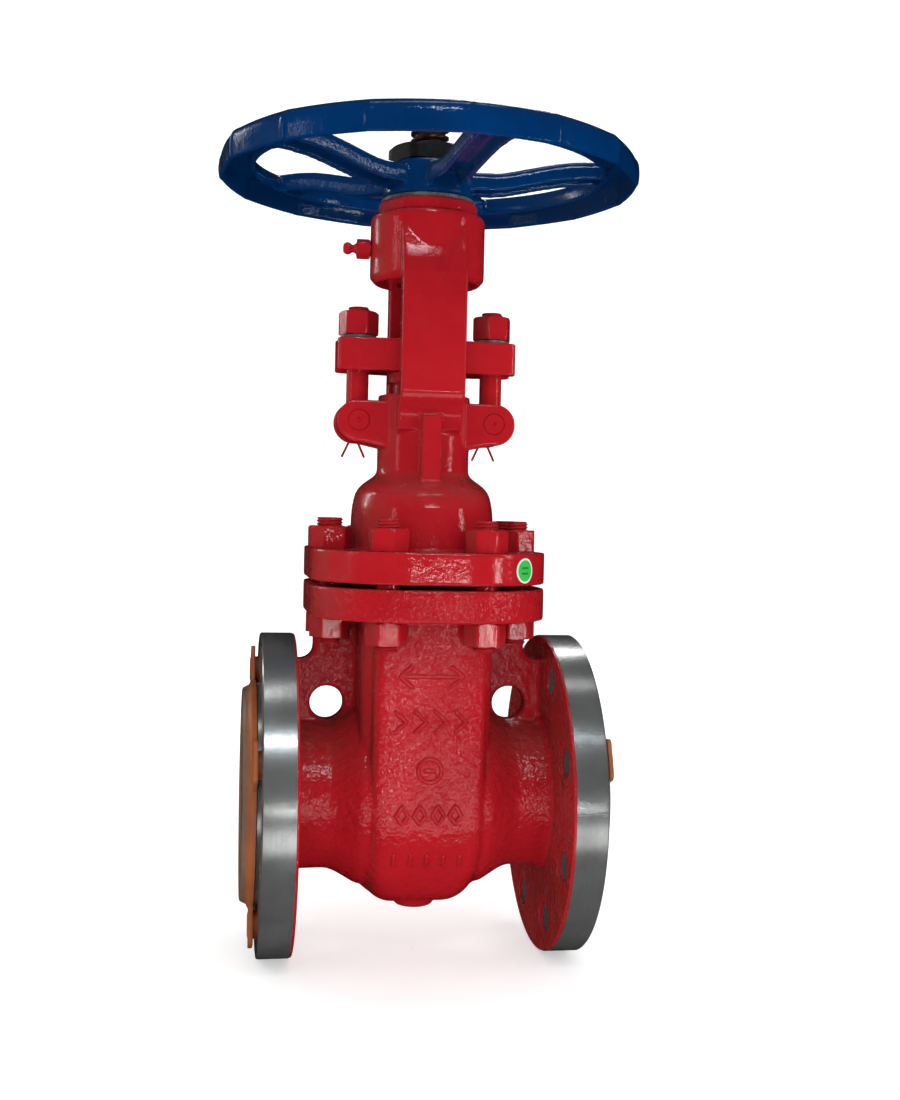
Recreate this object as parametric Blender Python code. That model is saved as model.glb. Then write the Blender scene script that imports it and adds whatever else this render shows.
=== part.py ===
"""DN80 bolted-bonnet gate valve with outside screw and yoke.

X runs along the pipe, Y across it and Z up the stem. The origin is where the
pipe axis and the stem axis cross. The valve is shut. Everything is in metres.
"""
import math

import bmesh
import bpy
from mathutils import Matrix, Vector

MM = 0.001
GAP = 0.3 * MM

# Pipe flanges: DN80 PN16 table, short face-to-face length
FACE_TO_FACE = 203 * MM
FLANGE_RADIUS = 100 * MM
FLANGE_RIM = 21 * MM
RAISED_FACE_RADIUS = 69 * MM
RAISED_FACE_HEIGHT = 2 * MM
BOLT_CIRCLE_RADIUS = 80 * MM
BOLT_HOLE_RADIUS = 9 * MM
BOLT_COUNT = 8
SPOT_FACE_RADIUS = 15 * MM
SPOT_FACE_DEPTH = 0.8 * MM
NECK_RADIUS = 46 * MM
BELL_RADIUS = 54.5 * MM
BELL_START = 52 * MM
BELL_END = 41 * MM
PORT_RADIUS = 39 * MM

# Body chamber: a flat-sided box with a half-round bottom
CHAMBER_X = 40 * MM
CHAMBER_Y = 59 * MM
CHAMBER_CENTRE_Z = -5 * MM
CHAMBER_BOTTOM = -68 * MM
CHAMBER_FILLET = 16 * MM
CHAMBER_WALL = 10 * MM
DRAIN_BOSS_RADIUS = 13 * MM
DRAIN_BOSS_BOTTOM = -71.5 * MM
DRAIN_BOSS_TOP = -62 * MM
GUIDE_RIB_HALF = 4 * MM
GUIDE_RIB_Y = 45 * MM
GUIDE_RIB_BOTTOM = -12 * MM
GUIDE_RIB_TOP = 125 * MM
WEB_HALF = 5.5 * MM
WEB_TOP = 85 * MM
WEB_INNER = 30 * MM
WEB_CORNER_X = 67 * MM
WEB_BEND = 8 * MM
WEB_HOLE_RADIUS = 10.8 * MM
WEB_HOLE = (58 * MM, 57.3 * MM)

# Bonnet joint: two long rounded flanges, eight studs
JOINT_X = 71.5 * MM
JOINT_Y = 88 * MM
JOINT_CORNER = 58 * MM
BODY_FLANGE_BOTTOM = 113.5 * MM
BODY_FLANGE_TOP = 132.5 * MM
BONNET_BOTTOM = 135.2 * MM
BONNET_FLANGE_TOP = 154 * MM
STUD_PLACES = [
    (sx * x, sy * y)
    for x, y in ((29 * MM, 70.5 * MM), (58 * MM, 18 * MM))
    for sx in (-1, 1)
    for sy in (-1, 1)
]
STUD_RADIUS = 7 * MM
STUD_TOP = 173 * MM
STUD_BOTTOM = 96 * MM
NUT_FLATS = 22 * MM
NUT_HEIGHT = 13.3 * MM
UPPER_NUT_TURN = 37
STUD_CLEARANCE = 0.8 * MM
GASKET_OUTER = (47 * MM, 62 * MM, 40 * MM)
GASKET_INNER = (34 * MM, 54 * MM, 28 * MM)

# Bonnet, stuffing box and yoke
STUFFING_RADIUS = 28.8 * MM
STUFFING_TOP = 250 * MM
STUFFING_BORE = 21 * MM
STUFFING_FLOOR = 207 * MM
BACKSEAT_FACE = 192 * MM
BACKSEAT_TOP = 202.7 * MM
BACKSEAT_RADIUS = 19 * MM
ARM_HALF = 19.5 * MM
ARM_OUTER = 40 * MM
ARM_INNER = 28 * MM
YOKE_RADIUS = 35.6 * MM
YOKE_BOTTOM = 320 * MM
YOKE_TOP = 362 * MM
YOKE_BORE = 28 * MM
YOKE_BORE_FLOOR = 334.7 * MM
RIB_HALF = 5.5 * MM
RIB_FRONT = 38 * MM
RIB_BOTTOM = 188 * MM
RIB_TOP = 236 * MM
NIPPLE_Z = 341 * MM
NIPPLE_FLATS = 11 * MM
NIPPLE_HOLE_RADIUS = 3.5 * MM

# Swing eyebolts and gland
PIN_X = 42.4 * MM
PIN_Z = 233.5 * MM
PIN_RADIUS = 6.6 * MM
EAR_RADIUS = 13 * MM
EAR_INNER = 7.5 * MM
EAR_OUTER = 15.5 * MM
EYE_RADIUS = 11.2 * MM
EYE_HALF = 7 * MM
GLAND_BOTTOM = 264.3 * MM
GLAND_TOP = 284.5 * MM
GLAND_X = 57 * MM
GLAND_Y = 21 * MM
GLAND_END_Y = 15 * MM
GLAND_SLOT = 7.8 * MM
GLAND_BUSH_RADIUS = 23.5 * MM
GLAND_BUSH_SHOULDER = 257.5 * MM
PIN_HEAD_Y = -24 * MM
SPLIT_PIN_Y = 20.5 * MM
SPLIT_PIN_HOLE_RADIUS = 2.3 * MM
SPLIT_PIN_WIRE_RADIUS = 0.75 * MM
WASHER_HEIGHT = 2 * MM
WASHER_RADIUS = 11.4 * MM
GLAND_NUT_HEIGHT = 14.5 * MM
GLAND_NUT_TURN = 10
EYEBOLT_TOP = 304.4 * MM
PACKING_RINGS = 4
PACKING_HEIGHT = 7.6 * MM

# Stem and gate
STEM_RADIUS = 12 * MM
STEM_TOP = 424 * MM
STEM_COLLAR_RADIUS = 15.5 * MM
STEM_COLLAR_Z = 98 * MM
TEE_BOTTOM = 49.5 * MM
TEE_TOP = 59.5 * MM
TEE_NECK_RADIUS = 8 * MM
TEE_HALF_X = 12 * MM
TEE_HALF_Y = 13 * MM
GATE_RADIUS = 47 * MM
GATE_HALF = 16.4 * MM
GATE_TAPER = math.tan(math.radians(5))
GATE_HEAD = (16 * MM, 20 * MM)
GATE_HEAD_TOP = 66 * MM
SEAT_OUTER = 46 * MM
SEAT_BACK = 36 * MM

# Stem nut, yoke cap and handwheel
STEM_NUT_BORE = 12.45 * MM
STEM_NUT_SLEEVE = 17 * MM
STEM_NUT_NECK = 15.8 * MM
STEM_NUT_FOOT = 18.5 * MM
STEM_NUT_COLLAR = 27 * MM
STEM_NUT_BOTTOM = 322 * MM
STEM_NUT_COLLAR_BOTTOM = 335 * MM
STEM_NUT_COLLAR_TOP = 346 * MM
STEM_NUT_TOP = 406.5 * MM
KEYWAY_HALF = 2.8 * MM
KEY_HALF = 2.5 * MM
CAP_BOTTOM = 346.4 * MM
CAP_TOP = 370 * MM
CAP_RADIUS = 31.2 * MM
THRUST_WASHER_RADIUS = 29.5 * MM
WHEEL_SEAT = 372.8 * MM
HUB_TOP = 395 * MM
HUB_RADIUS = 27 * MM
WHEEL_RADIUS = 132 * MM
WHEEL_TOP = 401 * MM
RIM_INNER = 108.5 * MM
SPOKE_COUNT = 5
SPOKE_ANGLE = math.radians(355)
LOCK_NUT_FLATS = 46 * MM
LOCK_NUT_HEIGHT = 9.7 * MM

# Push-in flange covers
COVER_RADIUS = 70 * MM
COVER_DEPTH = 8.5 * MM
COVER_TAB_REACH = 93 * MM
COVER_TAB_HALF = 12.5 * MM
COVER_TAB_THICKNESS = 3 * MM
COVER_PEG_RADIUS = 8.3 * MM
COVER_PEG_LENGTH = 12 * MM

ALONG_X = Matrix.Rotation(math.radians(90), 4, "Y")


# ---------------------------------------------------------------- basic shapes
def skin(loops, ring=False):
    """Join equal closed loops of points into one solid; a ring joins last to first."""
    bm = bmesh.new()
    rows = [[bm.verts.new(point) for point in loop] for loop in loops]
    pairs = list(zip(rows, rows[1:]))
    if ring:
        pairs.append((rows[-1], rows[0]))
    count = len(rows[0])
    for low, high in pairs:
        for i in range(count):
            j = (i + 1) % count
            bm.faces.new((low[i], low[j], high[j], high[i]))
    if not ring:
        bm.faces.new(rows[0][::-1])
        bm.faces.new(rows[-1])
    bmesh.ops.connect_verts_nonplanar(bm, angle_limit=math.radians(0.01), faces=bm.faces)
    bmesh.ops.recalc_face_normals(bm, faces=bm.faces)
    return bm


def circle(radius, z, sides):
    """A level loop of points."""
    turns = [math.tau * i / sides for i in range(sides)]
    return [Vector((radius * math.cos(t), radius * math.sin(t), z)) for t in turns]


def rod(radius, low, high, sides=32):
    """A solid cylinder about Z."""
    return skin([circle(radius, low, sides), circle(radius, high, sides)])


def turned(outline, sides=32, ring=True):
    """A turned solid about Z from (radius, height) points."""
    return skin([circle(r, z, sides) for r, z in outline], ring)


def tube(inner, outer, low, high, sides=32):
    """A plain ring about Z."""
    return turned([(inner, low), (outer, low), (outer, high), (inner, high)], sides)


def prism(outline, low, high):
    """A flat outline in XY pulled from one height to another."""
    return skin([[Vector((x, y, z)) for x, y in outline] for z in (low, high)])


def box(x, y, z):
    """A block between the given pairs of limits."""
    corners = [(x[0], y[0]), (x[1], y[0]), (x[1], y[1]), (x[0], y[1])]
    return prism(corners, *z)


def hexagon_ring(flats, bore, low, high, sides=24):
    """A hexagon nut blank with a round bore, corners included in the sides."""
    def hexagon(z):
        loop = []
        for i in range(sides):
            turn = math.tau * i / sides
            off = (turn % math.radians(60)) - math.radians(30)
            radius = flats / 2 / math.cos(off)
            loop.append(Vector((radius * math.cos(turn), radius * math.sin(turn), z)))
        return loop
    loops = [hexagon(low), hexagon(high), circle(bore, high, sides), circle(bore, low, sides)]
    return skin(loops, ring=True)


def rounded(half_x, half_y, corner, steps=7):
    """The outline of a rectangle with quarter-round corners."""
    points = []
    for quarter, (sx, sy) in enumerate(((1, 1), (-1, 1), (-1, -1), (1, -1))):
        for i in range(steps + 1):
            turn = math.radians(90) * (quarter + i / steps)
            x = sx * (half_x - corner) + corner * math.cos(turn)
            y = sy * (half_y - corner) + corner * math.sin(turn)
            points.append((x, y))
    return points


def ellipse(half_x, half_y, z, sides=36):
    """A level oval loop."""
    turns = [math.tau * i / sides for i in range(sides)]
    return [Vector((half_x * math.cos(t), half_y * math.sin(t), z)) for t in turns]


def moved(bm, matrix):
    """The same solid turned or shifted, faces kept pointing out."""
    bmesh.ops.transform(bm, matrix=matrix, verts=bm.verts)
    bmesh.ops.recalc_face_normals(bm, faces=bm.faces)
    return bm


def mirrored(bm, x=1, y=1):
    """A solid reflected in the X or Y direction."""
    return moved(bm, Matrix.Diagonal((x, y, 1, 1)))


def upright(bm):
    """Stand an XY outline that was pulled along Z up into the XZ plane."""
    return moved(bm, Matrix.Rotation(math.radians(90), 4, "X"))


# ---------------------------------------------------------------- scene helpers
def clear_scene():
    for thing in list(bpy.data.objects):
        bpy.data.objects.remove(thing, do_unlink=True)


def material(name, colour, roughness, metallic):
    """A Principled material of one colour."""
    made = bpy.data.materials.new(name)
    made.use_nodes = True
    shader = made.node_tree.nodes["Principled BSDF"]
    shader.inputs["Base Color"].default_value = (*colour, 1)
    shader.inputs["Roughness"].default_value = roughness
    shader.inputs["Metallic"].default_value = metallic
    return made


def add(name, bm, look=None, parent=None):
    """Put a solid in the scene, shaded smooth except at its hard edges."""
    mesh = bpy.data.meshes.new(name)
    bm.to_mesh(mesh)
    bm.free()
    mesh.shade_smooth()
    mesh.set_sharp_from_angle(angle=math.radians(35))
    made = bpy.data.objects.new(name, mesh)
    bpy.context.scene.collection.objects.link(made)
    if look:
        mesh.materials.append(look)
    if parent:
        place_under(made, parent)
    return made


def place_under(child, parent):
    """Give a solid its parent's origin, so that it turns about the joint's axis."""
    child.data.transform(Matrix.Translation(-parent.location))
    child.parent = parent


def pivot(name, place):
    """An empty on a joint's axis."""
    made = bpy.data.objects.new(name, None)
    made.location = place
    bpy.context.scene.collection.objects.link(made)
    return made


def combine(target, solids, operation):
    """Join the solids to the target, or cut them away, in one step."""
    tools = bpy.data.collections.new(f"{target.name}_{operation.lower()}_{len(target.modifiers)}")
    bpy.context.scene.collection.children.link(tools)
    for solid in solids:
        tool = add(f"tool_{target.name}", solid)
        tool.hide_render = True
        tool.display_type = "WIRE"
        tools.objects.link(tool)
        bpy.context.scene.collection.objects.unlink(tool)
    change = target.modifiers.new(tools.name, "BOOLEAN")
    change.operation = operation
    change.operand_type = "COLLECTION"
    change.collection = tools
    change.solver = "EXACT"


def join(target, *solids):
    combine(target, solids, "UNION")


def cut(target, *solids):
    combine(target, solids, "DIFFERENCE")


# ---------------------------------------------------------------- body
def flanged_barrel():
    """Both pipe flanges and the barrel between them, turned about the pipe axis."""
    end = FACE_TO_FACE / 2
    face = end - RAISED_FACE_HEIGHT
    back = face - FLANGE_RIM
    half = [
        (0.1 * MM, end),
        (RAISED_FACE_RADIUS, end),
        (RAISED_FACE_RADIUS, face),
        (FLANGE_RADIUS, face),
        (FLANGE_RADIUS, back),
        (NECK_RADIUS + 3.5 * MM, back),
        (NECK_RADIUS + 0.8 * MM, back - 3 * MM),
        (NECK_RADIUS, back - 7 * MM),
        (NECK_RADIUS, BELL_START),
        (BELL_RADIUS, BELL_END),
    ]
    outline = half + [(r, -z) for r, z in reversed(half)]
    return moved(turned(outline, 44, ring=False), ALONG_X)


def chamber_loop(x, side, bottom, top):
    """A U in the YZ plane: two sides and a half-round bottom."""
    steps = 16
    loop = [Vector((x, side, top))]
    for i in range(steps + 1):
        turn = -math.pi * i / steps
        y = side * math.cos(turn)
        z = CHAMBER_CENTRE_Z + (CHAMBER_CENTRE_Z - bottom) * math.sin(turn)
        loop.append(Vector((x, y, z)))
    loop.append(Vector((x, -side, top)))
    return loop


def chamber(half_x, side, bottom, fillet, top):
    """The wedge chamber's outside or inside, its four long edges rounded."""
    loops = []
    for turn in (0, 30, 60, 90):
        shrink = fillet * (1 - math.sin(math.radians(turn)))
        x = half_x - fillet * (1 - math.cos(math.radians(turn)))
        loops.append((x, side - shrink, bottom + shrink))
    sections = [(-x, s, b) for x, s, b in loops] + [(x, s, b) for x, s, b in reversed(loops)]
    return skin([chamber_loop(x, s, b, top) for x, s, b in sections])


def joint_flange(low, high):
    """One of the two long rounded flanges of the bonnet joint."""
    return prism(rounded(JOINT_X, JOINT_Y, JOINT_CORNER), low, high)


def web(side):
    """The stiffening plate between chamber, pipe flange and bonnet flange."""
    back = FACE_TO_FACE / 2 - RAISED_FACE_HEIGHT - FLANGE_RIM + 2 * MM
    top = BODY_FLANGE_BOTTOM + 2 * MM
    outline = [(WEB_INNER, WEB_INNER), (back, WEB_INNER), (back, WEB_TOP)]
    for i in range(5):
        turn = math.radians(90) * i / 4
        x = WEB_CORNER_X + WEB_BEND * (1 - math.sin(turn))
        outline.append((x, WEB_TOP + WEB_BEND * (1 - math.cos(turn))))
    outline += [(WEB_CORNER_X, top), (WEB_INNER, top)]
    return mirrored(upright(prism(outline, -WEB_HALF, WEB_HALF)), x=side)


def around_bolt_circle(radius, low, high, sides):
    """Yield one rod for each flange bolt hole, straddling the centre lines."""
    for i in range(BOLT_COUNT):
        turn = math.tau * (i + 0.5) / BOLT_COUNT
        place = (0, BOLT_CIRCLE_RADIUS * math.cos(turn), BOLT_CIRCLE_RADIUS * math.sin(turn))
        yield moved(rod(radius, low, high, sides), Matrix.Translation(place) @ ALONG_X)


def stud_holes(low, high):
    """Yield one rod for each stud of the bonnet joint."""
    for x, y in STUD_PLACES:
        hole = rod(STUD_RADIUS + STUD_CLEARANCE, low, high, 12)
        yield moved(hole, Matrix.Translation((x, y, 0)))


def body_masses():
    """What is joined to the barrel to make the casting."""
    return [
        chamber(
            CHAMBER_X, CHAMBER_Y, CHAMBER_BOTTOM, CHAMBER_FILLET, BODY_FLANGE_BOTTOM + 6 * MM
        ),
        joint_flange(BODY_FLANGE_BOTTOM, BODY_FLANGE_TOP),
        rod(DRAIN_BOSS_RADIUS, DRAIN_BOSS_BOTTOM, DRAIN_BOSS_TOP, 24),
        web(-1),
        web(1),
    ]


def body_cavity():
    """The chamber's inside, the port through it and the pockets for the seat rings."""
    end = FACE_TO_FACE / 2 + 1 * MM
    seat = SEAT_BACK + GAP
    inner_x = CHAMBER_X - CHAMBER_WALL - 1 * MM
    inner_y = CHAMBER_Y - CHAMBER_WALL + 1 * MM
    inner_bottom = CHAMBER_BOTTOM + CHAMBER_WALL
    return [
        chamber(inner_x, inner_y, inner_bottom, 4 * MM, BODY_FLANGE_TOP + 8 * MM),
        moved(rod(PORT_RADIUS, -end, end, 40), ALONG_X),
        moved(rod(SEAT_OUTER + GAP, -seat, seat, 40), ALONG_X),
    ]


def body_holes():
    """Bolt holes, their spot faces and the two lifting holes."""
    end = FACE_TO_FACE / 2 + 1 * MM
    back = FACE_TO_FACE / 2 - RAISED_FACE_HEIGHT - FLANGE_RIM
    holes = list(around_bolt_circle(BOLT_HOLE_RADIUS, -end, end, 12))
    holes.extend(stud_holes(BODY_FLANGE_BOTTOM - 4 * MM, BODY_FLANGE_TOP + 1 * MM))
    for side in (-1, 1):
        limits = sorted((side * (back - 4 * MM), side * (back + SPOT_FACE_DEPTH)))
        holes.extend(around_bolt_circle(SPOT_FACE_RADIUS, *limits, 14))
        hole = upright(rod(WEB_HOLE_RADIUS, -20 * MM, 20 * MM, 24))
        holes.append(moved(hole, Matrix.Translation((side * WEB_HOLE[0], 0, WEB_HOLE[1]))))
    return holes


def guide_ribs():
    """The two rails inside the chamber that keep the gate square."""
    rib_out = CHAMBER_Y - CHAMBER_WALL + 3 * MM
    for side in (-1, 1):
        limits = sorted((side * GUIDE_RIB_Y, side * rib_out))
        yield box((-GUIDE_RIB_HALF, GUIDE_RIB_HALF), limits, (GUIDE_RIB_BOTTOM, GUIDE_RIB_TOP))


def make_body(look):
    body = add("body", flanged_barrel(), look)
    join(body, *body_masses())
    cut(body, *body_cavity(), *body_holes())
    join(body, *guide_ribs())


def make_seat_rings(look):
    """Two hard-faced rings pressed into the body, faces leaning with the gate."""
    for name, side in (("seat_ring_left", -1), ("seat_ring_right", 1)):
        ring = moved(tube(PORT_RADIUS, SEAT_OUTER, GATE_HALF, SEAT_BACK, 40), ALONG_X)
        for vert in ring.verts:
            if vert.co.x < SEAT_BACK - 1 * MM:
                vert.co.x += GAP + vert.co.z * GATE_TAPER
        add(name, mirrored(ring, x=side), look)


# ---------------------------------------------------------------- bonnet and yoke
def dome(sections, sides=32):
    return skin([ellipse(x * MM, y * MM, z * MM, sides) for x, y, z in sections])


def ear(side_x, side_y):
    """One lug plate beside an eyebolt."""
    outline = [(12 * MM, 213 * MM), (26 * MM, 213 * MM)]
    for i in range(11):
        turn = math.radians(-105 + 195 * i / 10)
        x = PIN_X + 0.6 * MM + EAR_RADIUS * math.cos(turn)
        outline.append((x, PIN_Z - 0.5 * MM + EAR_RADIUS * math.sin(turn)))
    outline.append((12 * MM, PIN_Z - 0.5 * MM + EAR_RADIUS))
    plate = upright(prism(outline, EAR_INNER, EAR_OUTER))
    return mirrored(plate, x=side_x, y=side_y)


def arm(side):
    """One leg of the yoke, bent in to the stuffing box at the foot."""
    outline = [
        (22.5 * MM, 238 * MM),
        (29 * MM, 240 * MM),
        (ARM_OUTER, 249.5 * MM),
        (ARM_OUTER, YOKE_BOTTOM + 3 * MM),
        (YOKE_RADIUS - 0.8 * MM, 343 * MM),
        (30 * MM, 343 * MM),
        (30 * MM, YOKE_BOTTOM + 2 * MM),
        (ARM_INNER, YOKE_BOTTOM + 2 * MM),
        (ARM_INNER, 256 * MM),
        (24 * MM, 251.5 * MM),
        (22.5 * MM, 248 * MM),
    ]
    plate = prism(outline, -ARM_HALF, ARM_HALF)
    stand = Matrix(((0, 0, 1, 0), (1, 0, 0, 0), (0, 1, 0, 0), (0, 0, 0, 1)))
    return mirrored(moved(plate, stand), y=side)


def bonnet_masses():
    """Dome, stuffing box, ribs, lugs, yoke arms and yoke hub."""
    outside = [
        (44.5, 60, 145), (44.5, 60, 172), (43.2, 57.5, 184), (41.5, 53, 188.5),
        (38.5, 47, 193), (33.5, 37.2, 197), (27.5, 28, 202),
    ]
    hub = [
        (0.1 * MM, YOKE_BOTTOM), (YOKE_RADIUS - 2 * MM, YOKE_BOTTOM),
        (YOKE_RADIUS, YOKE_BOTTOM + 3 * MM), (YOKE_RADIUS, YOKE_TOP - 4 * MM),
        (YOKE_RADIUS - 1.2 * MM, YOKE_TOP - 1.2 * MM), (YOKE_RADIUS - 4 * MM, YOKE_TOP),
        (0.1 * MM, YOKE_TOP),
    ]
    masses = [
        dome(outside),
        rod(STUFFING_RADIUS, 190 * MM, STUFFING_TOP, 36),
        turned(hub, 40, ring=False),
    ]
    for side in (-1, 1):
        rib = sorted((side * 20 * MM, side * RIB_FRONT))
        masses.append(box((-RIB_HALF, RIB_HALF), rib, (RIB_BOTTOM, RIB_TOP)))
        masses += [ear(side, 1), ear(side, -1), arm(side)]
    return masses


def bonnet_holes():
    """Inside of the dome, stem way, stuffing box, yoke bore and every small hole."""
    inside = [(33, 50, 130), (34.5, 50.5, 165), (33, 46, 178), (27, 36, 186)]
    holes = [
        dome(inside, 28),
        rod(BACKSEAT_RADIUS + GAP, 180 * MM, BACKSEAT_TOP + GAP, 32),
        rod(STEM_RADIUS + 1 * MM, 195 * MM, 210 * MM, 32),
        rod(STUFFING_BORE, STUFFING_FLOOR, 262 * MM, 32),
        rod(19 * MM, YOKE_BOTTOM - 5 * MM, YOKE_BORE_FLOOR + 5 * MM, 32),
        rod(YOKE_BORE, YOKE_BORE_FLOOR, YOKE_TOP + 5 * MM, 32),
    ]
    for side in (-1, 1):
        pin_hole = upright(rod(PIN_RADIUS + GAP, -30 * MM, 30 * MM, 24))
        holes.append(moved(pin_hole, Matrix.Translation((side * PIN_X, 0, PIN_Z))))
    holes.extend(stud_holes(BONNET_BOTTOM - 1 * MM, BONNET_FLANGE_TOP + 1 * MM))
    nipple_hole = moved(rod(NIPPLE_HOLE_RADIUS, -45 * MM, -24 * MM, 16), ALONG_X)
    holes.append(moved(nipple_hole, Matrix.Translation((0, 0, NIPPLE_Z))))
    return holes


def make_bonnet(look):
    bonnet = add("bonnet_yoke", joint_flange(BONNET_BOTTOM, BONNET_FLANGE_TOP), look)
    join(bonnet, *bonnet_masses())
    cut(bonnet, *bonnet_holes())


def make_gasket(look):
    """The flat joint ring inside the studs."""
    steps = 9
    outer = rounded(*GASKET_OUTER, steps)
    inner = rounded(*GASKET_INNER, steps)
    low = BODY_FLANGE_TOP + GAP
    high = BONNET_BOTTOM - GAP
    loops = [(outer, low), (outer, high), (inner, high), (inner, low)]
    gasket = skin([[Vector((x, y, z)) for x, y in loop] for loop, z in loops], ring=True)
    add("bonnet_gasket", gasket, look)


def make_studs(stud_look, nut_look):
    """Each stud of the bonnet joint with its upper and lower nut."""
    for number, (x, y) in enumerate(STUD_PLACES, 1):
        place = Matrix.Translation((x, y, 0))
        stud = rod(STUD_RADIUS, STUD_BOTTOM, STUD_TOP, 12)
        add(f"bonnet_stud_{number}", moved(stud, place), stud_look)
        for name, low, angle in (
            ("upper", BONNET_FLANGE_TOP + GAP, UPPER_NUT_TURN * number),
            ("lower", BODY_FLANGE_BOTTOM - GAP - NUT_HEIGHT, 0),
        ):
            nut = hexagon_ring(NUT_FLATS, STUD_RADIUS + 0.6 * MM, low, low + NUT_HEIGHT, 12)
            turn = Matrix.Rotation(math.radians(angle), 4, "Z")
            add(f"bonnet_nut_{name}_{number}", moved(nut, place @ turn), nut_look)


# ---------------------------------------------------------------- stuffing box
def make_packing(look):
    """Square rings packed round the stem."""
    for number in range(1, PACKING_RINGS + 1):
        low = STUFFING_FLOOR + GAP + (number - 1) * (PACKING_HEIGHT + GAP)
        ring = tube(STEM_RADIUS + 0.4 * MM, STUFFING_BORE - 0.5 * MM, low, low + PACKING_HEIGHT, 28)
        add(f"packing_ring_{number}", ring, look)


def make_gland(bush_look, flange_look):
    low = STUFFING_FLOOR + GAP + PACKING_RINGS * (PACKING_HEIGHT + GAP)
    bore = STEM_RADIUS + 0.5 * MM
    outline = [
        (bore, low), (STUFFING_BORE - 0.5 * MM, low),
        (STUFFING_BORE - 0.5 * MM, GLAND_BUSH_SHOULDER), (GLAND_BUSH_RADIUS, GLAND_BUSH_SHOULDER),
        (GLAND_BUSH_RADIUS, GLAND_BOTTOM - GAP), (bore, GLAND_BOTTOM - GAP),
    ]
    add("gland_bush", turned(outline, 32), bush_look)
    ends = [(GLAND_X - 3 * MM, GLAND_END_Y), (GLAND_X, GLAND_END_Y - 4 * MM)]
    middle = [(12 * MM, GLAND_Y), (30 * MM, GLAND_END_Y + 2.5 * MM)]
    quarter = middle + ends
    outline = (
        quarter
        + [(x, -y) for x, y in reversed(quarter)]
        + [(-x, -y) for x, y in quarter]
        + [(-x, y) for x, y in reversed(quarter)]
    )
    flange = add("gland_flange", prism(outline, GLAND_BOTTOM, GLAND_TOP), flange_look)
    low, high = GLAND_BOTTOM - 5 * MM, GLAND_TOP + 5 * MM
    openings = [rod(STEM_RADIUS + 1 * MM, low, high, 32)]
    for side in (-1, 1):
        mouth = GLAND_X + 13 * MM
        slot = [(mouth, GLAND_SLOT), (mouth, -GLAND_SLOT)]
        for i in range(9):
            turn = math.radians(-90 - 180 * i / 8)
            slot.append((PIN_X + GLAND_SLOT * math.cos(turn), GLAND_SLOT * math.sin(turn)))
        openings.append(mirrored(prism(slot, low, high), x=side))
    cut(flange, *openings)


def split_pin_path(side):
    """One wire down through the hinge pin, round its eye and back, legs spread."""
    gap = 0.85 * MM
    leg = [(-7 * MM, -22 * MM), (-5.2 * MM, -17.5 * MM), (-2.2 * MM, -11 * MM), (-gap, -8 * MM)]
    eye_radius = 2.1 * MM
    eye = []
    for i in range(9):
        turn = math.radians(215 - 250 * i / 8)
        eye.append((eye_radius * math.cos(turn), 10.6 * MM + eye_radius * math.sin(turn)))
    path = leg + [(-gap, 8 * MM)] + eye + [(gap, 8 * MM)] + [(-x, z) for x, z in reversed(leg)]
    return [Vector((side * PIN_X + x, SPLIT_PIN_Y, PIN_Z + z)) for x, z in path]


def make_split_pin(name, side, look):
    curve = bpy.data.curves.new(name, "CURVE")
    curve.dimensions = "3D"
    curve.bevel_depth = SPLIT_PIN_WIRE_RADIUS
    curve.bevel_resolution = 2
    curve.use_fill_caps = True
    path = split_pin_path(side)
    spline = curve.splines.new("POLY")
    spline.points.add(len(path) - 1)
    for point, place in zip(spline.points, path):
        point.co = (*place, 1)
    curve.materials.append(look)
    bpy.context.scene.collection.objects.link(bpy.data.objects.new(name, curve))


def make_eyebolt(tag, side, looks):
    """A swing bolt on its hinge pin, with the washer and nut that hold the gland."""
    hinge = pivot(f"eyebolt_hinge_{tag}", (side * PIN_X, 0, PIN_Z))
    stand = Matrix.Translation((side * PIN_X, 0, PIN_Z))
    eye = moved(upright(rod(EYE_RADIUS, -EYE_HALF, EYE_HALF, 28)), stand)
    bolt = add(f"eyebolt_{tag}", eye, looks["red"], hinge)
    shank = rod(STUD_RADIUS, PIN_Z + 3 * MM, EYEBOLT_TOP, 20)
    join(bolt, moved(shank, Matrix.Translation((side * PIN_X, 0, 0))))
    hole = upright(rod(PIN_RADIUS + GAP, -20 * MM, 20 * MM, 24))
    cut(bolt, moved(hole, stand))
    on_bolt = Matrix.Translation((side * PIN_X, 0, 0))
    low = GLAND_TOP + GAP
    washer = tube(STUD_RADIUS + 0.5 * MM, WASHER_RADIUS, low, low + WASHER_HEIGHT, 24)
    add(f"spring_washer_{tag}", moved(washer, on_bolt), looks["steel"], hinge)
    low += WASHER_HEIGHT + GAP
    nut = hexagon_ring(NUT_FLATS, STUD_RADIUS + 0.5 * MM, low, low + GLAND_NUT_HEIGHT, 24)
    turn = Matrix.Rotation(math.radians(GLAND_NUT_TURN * side), 4, "Z")
    add(f"eyebolt_nut_{tag}", moved(nut, on_bolt @ turn), looks["red"], hinge)
    pin = upright(rod(PIN_RADIUS, PIN_HEAD_Y, EAR_OUTER + 0.5 * MM, 24))
    hinge_pin = add(f"hinge_pin_{tag}", moved(pin, stand), looks["red"])
    hole = rod(SPLIT_PIN_HOLE_RADIUS, -12 * MM, 12 * MM, 12)
    cut(hinge_pin, moved(hole, Matrix.Translation((side * PIN_X, SPLIT_PIN_Y, PIN_Z))))
    make_split_pin(f"split_pin_{tag}", side, looks["red"])


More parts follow.
